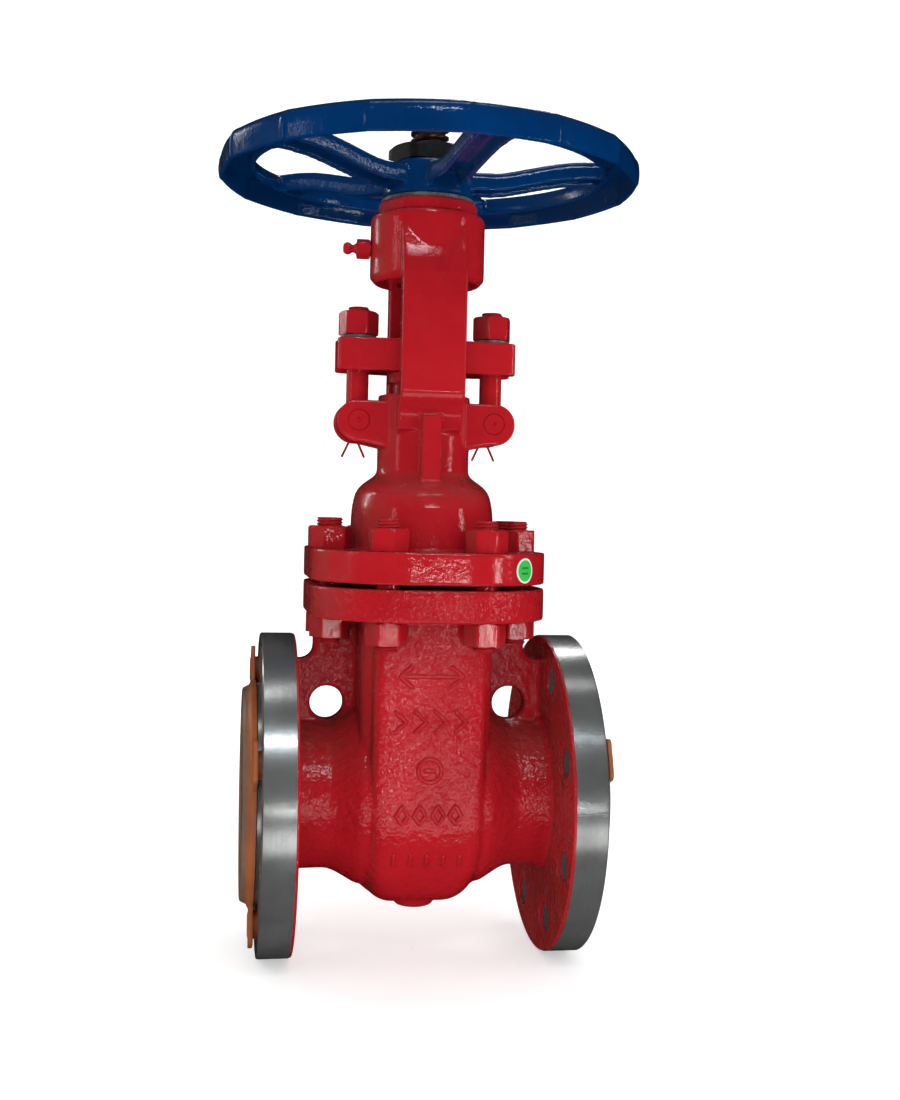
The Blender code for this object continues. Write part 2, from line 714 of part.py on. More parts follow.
# ---------------------------------------------------------------- gate and stem
def make_wedge(look, rise):
    """The solid gate: a disc with leaning faces and a slotted head for the stem."""
    disc = moved(rod(GATE_RADIUS, -GATE_HALF, GATE_HALF, 48), ALONG_X)
    for vert in disc.verts:
        vert.co.x += math.copysign(GATE_TAPER, vert.co.x) * vert.co.z
    wedge = add("wedge", disc, look, rise)
    half_x, half_y = GATE_HEAD
    join(wedge, box((-half_x, half_x), (-half_y, half_y), (30 * MM, GATE_HEAD_TOP)))
    through = (-30 * MM, 30 * MM)
    wide = (-TEE_HALF_Y - 1 * MM, TEE_HALF_Y + 1 * MM)
    neck = (-TEE_NECK_RADIUS - 0.6 * MM, TEE_NECK_RADIUS + 0.6 * MM)
    slots = [
        box(through, wide, (TEE_BOTTOM - 0.5 * MM, TEE_TOP + 0.5 * MM)),
        box(through, neck, (TEE_TOP - 1 * MM, GATE_HEAD_TOP + 4 * MM)),
    ]
    half = GUIDE_RIB_HALF + 0.6 * MM
    for side in (-1, 1):
        limits = sorted((side * (GUIDE_RIB_Y - 0.6 * MM), side * 60 * MM))
        slots.append(box((-half, half), limits, (-60 * MM, 60 * MM)))
    cut(wedge, *slots)


def make_stem(look, rise):
    """The stem: tee head, back-seat collar and the screwed top."""
    outline = [
        (0.1 * MM, TEE_TOP - 2 * MM), (TEE_NECK_RADIUS, TEE_TOP - 2 * MM),
        (TEE_NECK_RADIUS, 67 * MM), (STEM_RADIUS, 71 * MM), (STEM_RADIUS, STEM_COLLAR_Z - 2 * MM),
        (STEM_COLLAR_RADIUS, STEM_COLLAR_Z), (STEM_COLLAR_RADIUS, STEM_COLLAR_Z + 4 * MM),
        (STEM_RADIUS, STEM_COLLAR_Z + 8 * MM), (STEM_RADIUS, STEM_TOP - 2 * MM),
        (STEM_RADIUS - 2 * MM, STEM_TOP), (0.1 * MM, STEM_TOP),
    ]
    stem = add("stem", turned(outline, 28, ring=False), look, rise)
    tee = box((-TEE_HALF_X, TEE_HALF_X), (-TEE_HALF_Y, TEE_HALF_Y), (TEE_BOTTOM, TEE_TOP))
    join(stem, tee)


def make_backseat(look):
    bore = STEM_RADIUS + 0.5 * MM
    outline = [
        (bore, BACKSEAT_FACE + 4 * MM), (bore + 4 * MM, BACKSEAT_FACE),
        (BACKSEAT_RADIUS, BACKSEAT_FACE), (BACKSEAT_RADIUS, BACKSEAT_TOP), (bore, BACKSEAT_TOP),
    ]
    add("backseat_bush", turned(outline, 28), look)


# ---------------------------------------------------------------- drive
def make_stem_nut(look, turn):
    outline = [
        (STEM_NUT_BORE, STEM_NUT_BOTTOM), (STEM_NUT_FOOT, STEM_NUT_BOTTOM),
        (STEM_NUT_FOOT, STEM_NUT_COLLAR_BOTTOM), (STEM_NUT_COLLAR, STEM_NUT_COLLAR_BOTTOM),
        (STEM_NUT_COLLAR, STEM_NUT_COLLAR_TOP), (STEM_NUT_SLEEVE, STEM_NUT_COLLAR_TOP),
        (STEM_NUT_SLEEVE, HUB_TOP - GAP), (STEM_NUT_NECK, HUB_TOP - GAP),
        (STEM_NUT_NECK, STEM_NUT_TOP), (STEM_NUT_BORE, STEM_NUT_TOP),
    ]
    nut = add("stem_nut", turned(outline, 36), look, turn)
    keyway = (-KEYWAY_HALF, KEYWAY_HALF)
    slot = box(keyway, (14.9 * MM, 20 * MM), (WHEEL_SEAT + 2.9 * MM, HUB_TOP - 1 * MM))
    cut(nut, slot)


def make_yoke_cap(look):
    """The screwed ring that holds the stem nut down in the yoke."""
    bore = STEM_NUT_SLEEVE + 0.5 * MM
    outline = [
        (bore, CAP_BOTTOM), (YOKE_BORE - 0.5 * MM, CAP_BOTTOM),
        (YOKE_BORE - 0.5 * MM, YOKE_TOP + GAP), (CAP_RADIUS, YOKE_TOP + GAP),
        (CAP_RADIUS, CAP_TOP - 1 * MM), (CAP_RADIUS - 1 * MM, CAP_TOP), (bore, CAP_TOP),
    ]
    add("yoke_cap", turned(outline, 36), look)


def make_grease_nipple(look):
    """A short angle-free nipple screwed into the yoke's left side."""
    nipple = hexagon_ring(NIPPLE_FLATS, 1.2 * MM, -45 * MM, -36.2 * MM, 12)
    stand = Matrix.Translation((0, 0, NIPPLE_Z)) @ ALONG_X
    made = add("grease_nipple", moved(nipple, stand), look)
    spout = [
        (1.2 * MM, -53 * MM), (2.6 * MM, -53 * MM), (3.6 * MM, -51.6 * MM), (3.6 * MM, -49 * MM),
        (2.4 * MM, -46.5 * MM), (3.6 * MM, -44 * MM), (3 * MM, -28.5 * MM), (1.2 * MM, -28.5 * MM),
    ]
    join(made, moved(turned(spout, 12), stand))


def rim_outline():
    """The rim's section: a channel open below, its inner lip higher than its outer."""
    top = WHEEL_TOP
    edge = WHEEL_RADIUS
    lip = RIM_INNER
    return [
        (edge - 1 * MM, top - 19.5 * MM), (edge, top - 12 * MM), (edge - 0.8 * MM, top - 4.5 * MM),
        (edge - 5 * MM, top - 0.8 * MM), (edge - 12 * MM, top), (lip + 5 * MM, top - 1 * MM),
        (lip + 1 * MM, top - 5 * MM), (lip, top - 13.5 * MM), (lip + 2.2 * MM, top - 13.5 * MM),
        (lip + 4 * MM, top - 6 * MM), (edge - 9 * MM, top - 5.5 * MM),
        (edge - 5 * MM, top - 9 * MM), (edge - 3.5 * MM, top - 19.5 * MM),
    ]


def spoke():
    """One spoke along +X: a channel open below that climbs in an S to the rim."""
    loops = []
    for radius, top, wide in (
        (21, 391, 22), (42, 391, 21.5), (52, 392.5, 21.5), (84, 399, 22), (94, 400.2, 22.5),
        (111, 400.2, 24),
    ):
        half = wide / 2
        low = top - 12
        section = [
            (half, low), (half - 0.8, top - 1.2), (half - 2.5, top), (-half + 2.5, top),
            (-half + 0.8, top - 1.2), (-half, low), (-half + 3.5, low), (-half + 4.3, top - 4.5),
            (half - 4.3, top - 4.5), (half - 3.5, low),
        ]
        loops.append([Vector((radius, y, z)) * MM for y, z in section])
    return skin(loops)


def make_handwheel(look, turn):
    wheel = add("handwheel", turned(rim_outline(), 50), look, turn)
    hub = [
        (0.1 * MM, WHEEL_SEAT), (HUB_RADIUS + 2.2 * MM, WHEEL_SEAT),
        (HUB_RADIUS + 2.2 * MM, WHEEL_SEAT + 3 * MM), (HUB_RADIUS, WHEEL_SEAT + 6 * MM),
        (HUB_RADIUS - 1 * MM, HUB_TOP - 1.5 * MM), (HUB_RADIUS - 2.5 * MM, HUB_TOP),
        (0.1 * MM, HUB_TOP),
    ]
    solids = [turned(hub, 36, ring=False)]
    for i in range(SPOKE_COUNT):
        angle = SPOKE_ANGLE + math.tau * i / SPOKE_COUNT
        solids.append(moved(spoke(), Matrix.Rotation(angle, 4, "Z")))
    join(wheel, *solids)
    bore = rod(STEM_NUT_SLEEVE + 0.4 * MM, WHEEL_SEAT - 5 * MM, HUB_TOP + 5 * MM, 36)
    across = (-KEYWAY_HALF, KEYWAY_HALF)
    keyway = box(across, (10 * MM, 19.8 * MM), (WHEEL_SEAT - 8 * MM, HUB_TOP + 7 * MM))
    cut(wheel, bore, keyway)


def make_drive(looks):
    """Everything that turns with the handwheel."""
    turn = pivot("handwheel_axis", (0, 0, 0))
    make_stem_nut(looks["bronze"], turn)
    make_handwheel(looks["blue"], turn)
    washer_low, washer_high = CAP_TOP + GAP, WHEEL_SEAT - GAP
    bore = STEM_NUT_SLEEVE + 0.5 * MM
    washer = tube(bore, THRUST_WASHER_RADIUS, washer_low, washer_high, 36)
    add("thrust_washer", washer, looks["steel"], turn)
    key_z = (WHEEL_SEAT + 3.2 * MM, HUB_TOP - 1.3 * MM)
    key = box((-KEY_HALF, KEY_HALF), (15.2 * MM, 19.4 * MM), key_z)
    add("handwheel_key", key, looks["steel"], turn)
    low = HUB_TOP + GAP
    nut = hexagon_ring(LOCK_NUT_FLATS, STEM_NUT_NECK + 0.4 * MM, low, low + LOCK_NUT_HEIGHT, 36)
    add("handwheel_nut", nut, looks["black"], turn)


# ---------------------------------------------------------------- flange covers
def cover_tab(angle):
    """A tongue of the cover that carries the peg for one bolt hole."""
    reach = COVER_TAB_REACH
    half = COVER_TAB_HALF
    root = COVER_RADIUS - 20 * MM
    outline = [(root, half), (root, -half), (reach - 4 * MM, -half)]
    outline += [(reach, -half + 5 * MM), (reach, half - 5 * MM), (reach - 4 * MM, half)]
    plate = prism(outline, GAP, COVER_TAB_THICKNESS)
    peg = moved(
        rod(COVER_PEG_RADIUS, -COVER_PEG_LENGTH, 2 * MM, 16),
        Matrix.Translation((BOLT_CIRCLE_RADIUS, 0, 0)),
    )
    turn = Matrix.Rotation(angle, 4, "Z")
    return moved(plate, turn), moved(peg, turn)


def make_cover(name, side, first, look):
    """A push-in plastic cover with four pegs in every second bolt hole."""
    rim = COVER_RADIUS
    dish = [
        (0.1 * MM, GAP), (rim, GAP), (rim, COVER_TAB_THICKNESS), (rim - 2.5 * MM, 3.6 * MM),
        (rim - 4 * MM, COVER_DEPTH - 1 * MM), (rim - 6 * MM, COVER_DEPTH),
        (0.1 * MM, COVER_DEPTH),
    ]
    slide = pivot(f"{name}_slide", (side * FACE_TO_FACE / 2, 0, 0))
    along = Matrix.Rotation(math.radians(90 * side), 4, "Y")
    seat = Matrix.Translation((side * FACE_TO_FACE / 2, 0, 0)) @ along
    cover = add(name, moved(turned(dish, 40, ring=False), seat), look, slide)
    tabs = []
    for i in range(4):
        tabs += cover_tab(first + math.tau * i / 4)
    join(cover, *[moved(piece, seat) for piece in tabs])


# ---------------------------------------------------------------- the valve
def main():
    clear_scene()
    looks = {
        "red": material("red_paint", (0.42, 0.012, 0.018), 0.28, 0.0),
        "blue": material("blue_paint", (0.0, 0.035, 0.16), 0.28, 0.0),
        "steel": material("bare_steel", (0.45, 0.45, 0.44), 0.35, 1.0),
        "trim": material("seat_alloy", (0.62, 0.61, 0.58), 0.3, 1.0),
        "stem": material("stem_steel", (0.16, 0.1, 0.075), 0.35, 1.0),
        "black": material("black_steel", (0.02, 0.02, 0.02), 0.45, 0.6),
        "bronze": material("bronze", (0.55, 0.32, 0.13), 0.35, 1.0),
        "graphite": material("graphite", (0.05, 0.05, 0.052), 0.6, 0.1),
        "orange": material("orange_plastic", (0.55, 0.14, 0.02), 0.4, 0.0),
    }
    make_body(looks["red"])
    make_seat_rings(looks["trim"])
    make_bonnet(looks["red"])
    make_gasket(looks["graphite"])
    make_studs(looks["red"], looks["red"])
    make_packing(looks["graphite"])
    make_gland(looks["red"], looks["red"])
    make_backseat(looks["trim"])
    for tag, side in (("left", -1), ("right", 1)):
        make_eyebolt(tag, side, looks)
    rise = pivot("stem_axis", (0, 0, 0))
    make_wedge(looks["trim"], rise)
    make_stem(looks["stem"], rise)
    make_drive(looks)
    make_yoke_cap(looks["red"])
    make_grease_nipple(looks["red"])
    eighth = math.radians(22.5)
    make_cover("flange_cover_left", -1, eighth, looks["orange"])
    make_cover("flange_cover_right", 1, 3 * eighth, looks["orange"])


main()
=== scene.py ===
# Looks for the DN80 gate valve: finer castings, real threads, paint, machined steel.
# Shapes are worked out in millimetres and stored in metres.
import math

import bmesh
import bpy
from mathutils import Matrix, Vector


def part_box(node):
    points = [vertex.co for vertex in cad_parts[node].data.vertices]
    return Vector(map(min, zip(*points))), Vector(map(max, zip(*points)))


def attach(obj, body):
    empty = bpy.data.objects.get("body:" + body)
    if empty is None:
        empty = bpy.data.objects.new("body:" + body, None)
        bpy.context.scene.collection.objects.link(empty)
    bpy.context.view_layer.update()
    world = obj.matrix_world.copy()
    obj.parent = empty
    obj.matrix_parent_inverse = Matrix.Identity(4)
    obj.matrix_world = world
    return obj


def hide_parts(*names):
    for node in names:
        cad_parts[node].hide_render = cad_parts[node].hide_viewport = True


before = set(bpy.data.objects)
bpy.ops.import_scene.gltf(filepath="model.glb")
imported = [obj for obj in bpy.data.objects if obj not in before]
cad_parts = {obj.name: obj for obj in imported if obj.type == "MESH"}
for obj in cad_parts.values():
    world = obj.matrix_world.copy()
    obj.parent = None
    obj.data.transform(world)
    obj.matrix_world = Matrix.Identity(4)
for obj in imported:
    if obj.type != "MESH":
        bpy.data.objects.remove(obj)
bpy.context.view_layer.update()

MM = 0.001

# How fine each casting's skin is
BODY_VOXEL = 1.15
BONNET_VOXEL = 0.95
WHEEL_VOXEL = 1.0
GLAND_VOXEL = 0.8


def limits(node):
    """Lowest and highest corner of a CAD node, in millimetres."""
    low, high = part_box(node)
    return low / MM, high / MM


def centre(node):
    low, high = limits(node)
    return (low + high) / 2


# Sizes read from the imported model
BODY_LOW, BODY_HIGH = limits("body")
FACE = BODY_HIGH.x
FLANGE_RADIUS = -BODY_LOW.z
RIM_FRONT = FACE - 2
RIM_BACK = RIM_FRONT - 21
BODY_TOP = BODY_HIGH.z
BONNET_BOTTOM = limits("bonnet_yoke")[0].z
PIN_X = abs(centre("eyebolt_nut_right").x)
PIN_Z = centre("hinge_pin_right").z
WHEEL_LOW, WHEEL_HIGH = limits("handwheel")
WHEEL_TOP = WHEEL_HIGH.z
WHEEL_RADIUS = min(-WHEEL_LOW.y, WHEEL_HIGH.y) - 0.02
GLAND_LOW, GLAND_HIGH = limits("gland_flange")
STEM_LOW, STEM_HIGH = limits("stem")

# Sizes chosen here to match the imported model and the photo
PORT = 39
BOLT_CIRCLE = 80
BOLT_HOLE = 9
RAISED_FACE = 69
PAINT_STEP = 1.8
CHAMBER_Z = -5
PANEL_FRONT = 59.4
PANEL_DEPTH = 63
JOINT_HALF_X = 71.7
JOINT_HALF_Y = 88.2
JOINT_CORNER = 58
BODY_JOINT_LOW = 113.3
BONNET_JOINT_TOP = 154.2
STUD_RADIUS = 7
STUD_PITCH = 2
STUD_GROOVE = 1.15
STUD_HOLE = 7.8
NUT_FLATS = 22
NUT_BORE = 7.05
GLAND_SLOT = 7.8
STEM_RADIUS = 12
STEM_PITCH = 5
STEM_GROOVE = 2.3
KEYWAY = (-2.8, 2.8)

ALONG_X = Matrix.Rotation(math.radians(90), 4, "Y")
UPRIGHT = Matrix.Rotation(math.radians(90), 4, "X")
SIDE_ON = Matrix(((0, 0, 1, 0), (1, 0, 0, 0), (0, 1, 0, 0), (0, 0, 0, 1)))
FLIP_X = Matrix.Diagonal((-1, 1, 1, 1))
FLIP_Y = Matrix.Diagonal((1, -1, 1, 1))


# ---------------------------------------------------------------- shapes
def skin(loops, ring=False):
    """Join equal closed loops of points into one solid."""
    bm = bmesh.new()
    rows = [[bm.verts.new(point) for point in loop] for loop in loops]
    pairs = list(zip(rows, rows[1:]))
    if ring:
        pairs.append((rows[-1], rows[0]))
    count = len(rows[0])
    for low, high in pairs:
        for i in range(count):
            j = (i + 1) % count
            bm.faces.new((low[i], low[j], high[j], high[i]))
    if not ring:
        bm.faces.new(rows[0][::-1])
        bm.faces.new(rows[-1])
    bmesh.ops.recalc_face_normals(bm, faces=bm.faces)
    return bm


def oval(half_x, half_y, z, sides):
    turns = [math.tau * i / sides for i in range(sides)]
    return [Vector((half_x * math.cos(t), half_y * math.sin(t), z)) for t in turns]


def circle(radius, z, sides):
    return oval(radius, radius, z, sides)


def arc(x, y, radius, start, end, steps):
    """Points along an arc, its angles in degrees."""
    turns = [math.radians(start + (end - start) * i / steps) for i in range(steps + 1)]
    return [(x + radius * math.cos(t), y + radius * math.sin(t)) for t in turns]


def turned(outline, sides=96, ring=False):
    """A turned solid about Z from (radius, height) points."""
    return skin([circle(max(r, 0.05), z, sides) for r, z in outline], ring)


def rod(radius, low, high, sides=64):
    return turned([(radius, low), (radius, high)], sides)


def prism(outline, low, high):
    return skin([[Vector((x, y, z)) for x, y in outline] for z in (low, high)])


def block(x, y, z):
    return prism([(x[0], y[0]), (x[1], y[0]), (x[1], y[1]), (x[0], y[1])], *z)


def rounded(half_x, half_y, corner, steps=28):
    """A rectangle with round corners."""
    points = []
    for quarter, (side_x, side_y) in enumerate(((1, 1), (-1, 1), (-1, -1), (1, -1))):
        x = side_x * (half_x - corner)
        y = side_y * (half_y - corner)
        points += arc(x, y, corner, 90 * quarter, 90 * quarter + 90, steps)
    return points


def moved(bm, matrix):
    bmesh.ops.transform(bm, matrix=matrix, verts=bm.verts)
    if matrix.determinant() < 0:
        bmesh.ops.reverse_faces(bm, faces=bm.faces)
    return bm


def shifted(bm, x=0.0, y=0.0, z=0.0):
    return moved(bm, Matrix.Translation((x, y, z)))


def on_side(bm, side, flip=FLIP_X):
    """A solid made for the positive side, mirrored when it goes on the negative one."""
    return bm if side > 0 else moved(bm, flip)


def spun(bm, degrees):
    return moved(bm, Matrix.Rotation(math.radians(degrees), 4, "Z"))


def merged(solids):
    """Several solids in one mesh, left apart."""
    whole = bmesh.new()
    for solid in solids:
        mesh = bpy.data.meshes.new("part")
        solid.to_mesh(mesh)
        solid.free()
        whole.from_mesh(mesh)
        bpy.data.meshes.remove(mesh)
    return whole


def work_object(bm):
    mesh = bpy.data.meshes.new("work")
    bm.to_mesh(mesh)
    bm.free()
    thing = bpy.data.objects.new("work", mesh)
    bpy.context.scene.collection.objects.link(thing)
    return thing


def drop(thing):
    mesh = thing.data
    bpy.data.objects.remove(thing)
    bpy.data.meshes.remove(mesh)


def evaluated(bm, set_up):
    """What the modifiers added by set_up make of a solid."""
    thing = work_object(bm)
    set_up(thing.modifiers)
    made = bmesh.new()
    made.from_object(thing, bpy.context.evaluated_depsgraph_get())
    drop(thing)
    return made


def boolean(target, tool, operation="DIFFERENCE"):
    helper = work_object(tool)

    def set_up(modifiers):
        change = modifiers.new("change", "BOOLEAN")
        change.operation = operation
        change.object = helper
        change.solver = "MANIFOLD"

    made = evaluated(target, set_up)
    drop(helper)
    return made


def cast(shells, voxel, rounds):
    """Melt overlapping shells into one skin with soft edges and filled corners."""
    def set_up(modifiers):
        remesh = modifiers.new("remesh", "REMESH")
        remesh.mode = "VOXEL"
        remesh.voxel_size = voxel
        smooth = modifiers.new("smooth", "SMOOTH")
        smooth.factor = 0.5
        smooth.iterations = rounds

    return evaluated(merged(shells), set_up)


def softened(bm, width, segments=2, angle=30):
    """Round a solid's hard edges."""
    def set_up(modifiers):
        bevel = modifiers.new("bevel", "BEVEL")
        bevel.width = width
        bevel.segments = segments
        bevel.limit_method = "ANGLE"
        bevel.angle_limit = math.radians(angle)

    return evaluated(bm, set_up)


def sweep(points, radius, sides=10):
    """A tube along a line of points, with rounded ends."""
    points = [Vector(p) for p in points]
    last = len(points) - 1
    rounding = {0: [(-0.9, 0.45), (-0.5, 0.87), (0, 1)], last: [(0, 1), (0.5, 0.87), (0.9, 0.45)]}
    loops = []
    side = None
    for i, point in enumerate(points):
        ahead = points[min(i + 1, last)] - points[max(i - 1, 0)]
        ahead.normalize()
        if side is None:
            side = ahead.orthogonal()
        side = (side - ahead * side.dot(ahead)).normalized()
        up = ahead.cross(side)
        for along, wide in rounding.get(i, [(0, 1)]):
            ring = []
            for k in range(sides):
                turn = math.tau * k / sides
                out = side * math.cos(turn) + up * math.sin(turn)
                ring.append(point + ahead * along * radius + out * wide * radius)
            loops.append(ring)
    return skin(loops)


def nut(flats, bore, low, high, sides=72):
    """A hexagon nut, chamfered at both ends and softened at its corners by paint."""
    half = flats / 2
    below_top = [2.2, 1.6, 1.2, 0.9, 0.6, 0.3, 0]
    levels = [low, low + 0.25] + [high - drop_by for drop_by in below_top]
    loops = []
    for z in levels:
        cone = min(half * 1.01 + 1.2 * (high - z), half * 1.115 + 1.5 * (z - low))
        loop = []
        for i in range(sides):
            turn = math.tau * i / sides
            off = (turn % math.radians(60)) - math.radians(30)
            radius = min(half / math.cos(off), half * 1.143, cone)
            loop.append(Vector((radius * math.cos(turn), radius * math.sin(turn), z)))
        loops.append(loop)
    loops += [circle(bore + 0.9, high, sides), circle(bore, high - 0.9, sides)]
    loops += [circle(bore, low + 0.9, sides), circle(bore + 0.9, low, sides)]
    return skin(loops, ring=True)


def threaded(radius, depth, pitch, low, high, screwed, sides=28, square=False, lip=1.0):
    """A rod with real helical grooves over the screwed stretches."""
    step = pitch / 6
    count = max(2, round((high - low) / step))
    loops = []
    for k in range(count + 1):
        z = low + (high - low) * k / count
        bevel = max(0, lip - (high - z), lip - (z - low))
        near = max((min(z - a, b - z) for a, b in screwed), default=-1)
        share = min(1, max(0, near / (pitch * 0.7)))
        loop = []
        for i in range(sides):
            wave = abs(((z / pitch - i / sides) % 1) * 2 - 1)
            if square:
                wave = min(1, max(0, (wave - 0.36) / 0.26))
            r = radius - share * depth * wave
            r = min(r, radius - bevel)
            turn = math.tau * i / sides
            loop.append(Vector((r * math.cos(turn), r * math.sin(turn), z)))
        loops.append(loop)
    return skin(loops)


# ---------------------------------------------------------------- materials
def shader_of(name, metallic=0.0, roughness=0.3, coat=0.0):
    """A new Principled material, with its node tree and shader."""
    look = bpy.data.materials.new(name)
    look.use_nodes = True
    tree = look.node_tree
    shader = tree.nodes["Principled BSDF"]
    shader.inputs["Metallic"].default_value = metallic
    shader.inputs["Roughness"].default_value = roughness
    shader.inputs["Coat Weight"].default_value = coat
    shader.inputs["Coat Roughness"].default_value = 0.06
    return look, tree, shader


def place(tree):
    """Where a point is on its own object, in metres."""
    return tree.nodes.new("ShaderNodeTexCoord").outputs["Object"]


def noise(tree, where, scale, detail=3.0, rough=0.55):
    node = tree.nodes.new("ShaderNodeTexNoise")
    node.inputs["Scale"].default_value = scale
    node.inputs["Detail"].default_value = detail
    node.inputs["Roughness"].default_value = rough
    tree.links.new(where, node.inputs["Vector"])
    return node.outputs["Fac"]


def remap(tree, value, low, high, to_low, to_high):
    node = tree.nodes.new("ShaderNodeMapRange")
    for key, number in (("From Min", low), ("From Max", high), ("To Min", to_low), ("To Max", to_high)):
        node.inputs[key].default_value = number
    tree.links.new(value, node.inputs["Value"])
    return node.outputs["Result"]


def mixed(tree, share, first, second):
    """A colour between two; each is a colour or a socket."""
    node = tree.nodes.new("ShaderNodeMix")
    node.data_type = "RGBA"
    for socket, value in ((node.inputs[6], first), (node.inputs[7], second)):
        if isinstance(value, tuple):
            socket.default_value = (*value, 1)
        else:
            tree.links.new(value, socket)
    tree.links.new(share, node.inputs[0])
    return node.outputs[2]


def calc(tree, kind, first, second=None):
    node = tree.nodes.new("ShaderNodeMath")
    node.operation = kind
    for socket, value in zip(node.inputs, (first, second)):
        if value is None:
            continue
        if isinstance(value, (int, float)):
            socket.default_value = value
        else:
            tree.links.new(value, socket)
    return node.outputs[0]


def bump(tree, height, strength, distance, before=None):
    node = tree.nodes.new("ShaderNodeBump")
    node.inputs["Strength"].default_value = strength
    node.inputs["Distance"].default_value = distance
    tree.links.new(height, node.inputs["Height"])
    if before:
        tree.links.new(before, node.inputs["Normal"])
    return node.outputs["Normal"]


def split_up(tree, vector):
    """The X, Y and Z of a vector, by name."""
    node = tree.nodes.new("ShaderNodeSeparateXYZ")
    tree.links.new(vector, node.inputs[0])
    return {axis: node.outputs[axis] for axis in "XYZ"}


def distance(tree, first, second):
    """How far a point is from an axis, from its two places across that axis."""
    squares = [calc(tree, "MULTIPLY", side, side) for side in (first, second)]
    return calc(tree, "SQRT", calc(tree, "ADD", *squares))


def wear(tree, low, high):
    """Where edges stand out, from 0 to 1."""
    sharp = tree.nodes.new("ShaderNodeNewGeometry").outputs["Pointiness"]
    return remap(tree, sharp, low, high, 0, 1)


def facing(tree, axis, start, full):
    """0 to 1 as a surface's normal along one axis goes from start to full."""
    normal = tree.nodes.new("ShaderNodeNewGeometry").outputs["Normal"]
    return remap(tree, split_up(tree, normal)[axis], start, full, 0, 1)


def paint(name, colour, shade, dust, orange_peel, lumps, worn=None):
    """Thick gloss paint over a casting: a lumpy skin, orange peel, dust on upward faces, painted shade in
    the dust colour on faces turned to the left, and specks.
    """
    look, tree, shader = shader_of(name, coat=0.2)
    shader.inputs["Specular IOR Level"].default_value = 0.4
    where = place(tree)
    patch = remap(tree, noise(tree, where, 16, 4), 0.35, 0.7, 0, 1)
    tone = mixed(tree, patch, colour, shade)
    cloud = remap(tree, noise(tree, where, 60, 6, 0.7), 0.3, 0.75, 0.1, 0.48)
    # Dust on faces turned up; on faces turned to the left the same brown is painted shade.
    up_dust_left_shade = calc(tree, "MAXIMUM", facing(tree, "Z", 0.2, 0.95), facing(tree, "X", -0.55, -0.98))
    dust_and_left_shade = calc(tree, "MULTIPLY", up_dust_left_shade, cloud)
    tone = mixed(tree, dust_and_left_shade, tone, dust)
    speck = remap(tree, noise(tree, where, 700, 2), 0.68, 0.74, 0, 0.35)
    tone = mixed(tree, speck, tone, dust)
    if worn:
        chips = remap(tree, noise(tree, where, 240, 5, 0.7), 0.5, 0.66, 0, 0.45)
        tone = mixed(tree, calc(tree, "MULTIPLY", wear(tree, 0.54, 0.62), chips), tone, worn)
    tree.links.new(tone, shader.inputs["Base Color"])
    rough = remap(tree, noise(tree, where, 90, 5, 0.7), 0.3, 0.75, 0.05, 0.14)
    rough_dust_and_shade = calc(tree, "ADD", rough, calc(tree, "MULTIPLY", dust_and_left_shade, 0.5))
    tree.links.new(rough_dust_and_shade, shader.inputs["Roughness"])
    rise = calc(tree, "MULTIPLY", noise(tree, where, 230, 2), remap(tree, patch, 0, 1, 0.6, 1.4))
    skin_bump = bump(tree, rise, lumps, 0.0012)
    peel = bump(tree, noise(tree, where, 640, 2), orange_peel, 0.0004, skin_bump)
    tree.links.new(peel, shader.inputs["Normal"])
    tree.links.new(peel, shader.inputs["Coat Normal"])
    return look


def lathe_steel(name, colour, stain, axis, strength=0.5):
    """Bare steel with the fine rings that a lathe leaves round one axis."""
    look, tree, shader = shader_of(name, metallic=0.85)
    shader.inputs["Anisotropic"].default_value = 0.5
    where = place(tree)
    across = split_up(tree, where)
    along = across.pop(axis)
    radius = distance(tree, *across.values())
    join = tree.nodes.new("ShaderNodeCombineXYZ")
    tree.links.new(along, join.inputs["X"])
    tree.links.new(radius, join.inputs["Y"])
    rings = noise(tree, join.outputs[0], 2600, 4, 0.7)
    bands = noise(tree, join.outputs[0], 330, 3)
    patch = remap(tree, noise(tree, where, 26, 5, 0.65), 0.35, 0.72, 0, 1)
    tone = mixed(tree, patch, colour, stain)
    tone = mixed(tree, remap(tree, bands, 0.3, 0.7, 0, 0.35), tone, stain)
    tree.links.new(tone, shader.inputs["Base Color"])
    tree.links.new(remap(tree, rings, 0.3, 0.7, 0.13, 0.26), shader.inputs["Roughness"])
    scratch = noise(tree, where, 900, 2)
    grooves = bump(tree, rings, strength, 0.00006)
    tree.links.new(bump(tree, scratch, 0.04, 0.0001, grooves), shader.inputs["Normal"])
    tangent = tree.nodes.new("ShaderNodeTangent")
    tangent.direction_type = "RADIAL"
    tangent.axis = axis
    tree.links.new(tangent.outputs[0], shader.inputs["Tangent"])
    return look


def worn_metal(name, colour, dirt, roughness, metallic=0.8):
    """A darker metal with grease and handling marks."""
    look, tree, shader = shader_of(name, metallic=metallic, roughness=roughness)
    where = place(tree)
    patch = remap(tree, noise(tree, where, 120, 6, 0.7), 0.35, 0.68, 0, 1)
    tree.links.new(mixed(tree, patch, colour, dirt), shader.inputs["Base Color"])
    grain = noise(tree, where, 1500, 3)
    rough = remap(tree, grain, 0.3, 0.7, roughness * 0.7, roughness * 1.4)
    tree.links.new(rough, shader.inputs["Roughness"])
    tree.links.new(bump(tree, grain, 0.2, 0.0001), shader.inputs["Normal"])
    return look


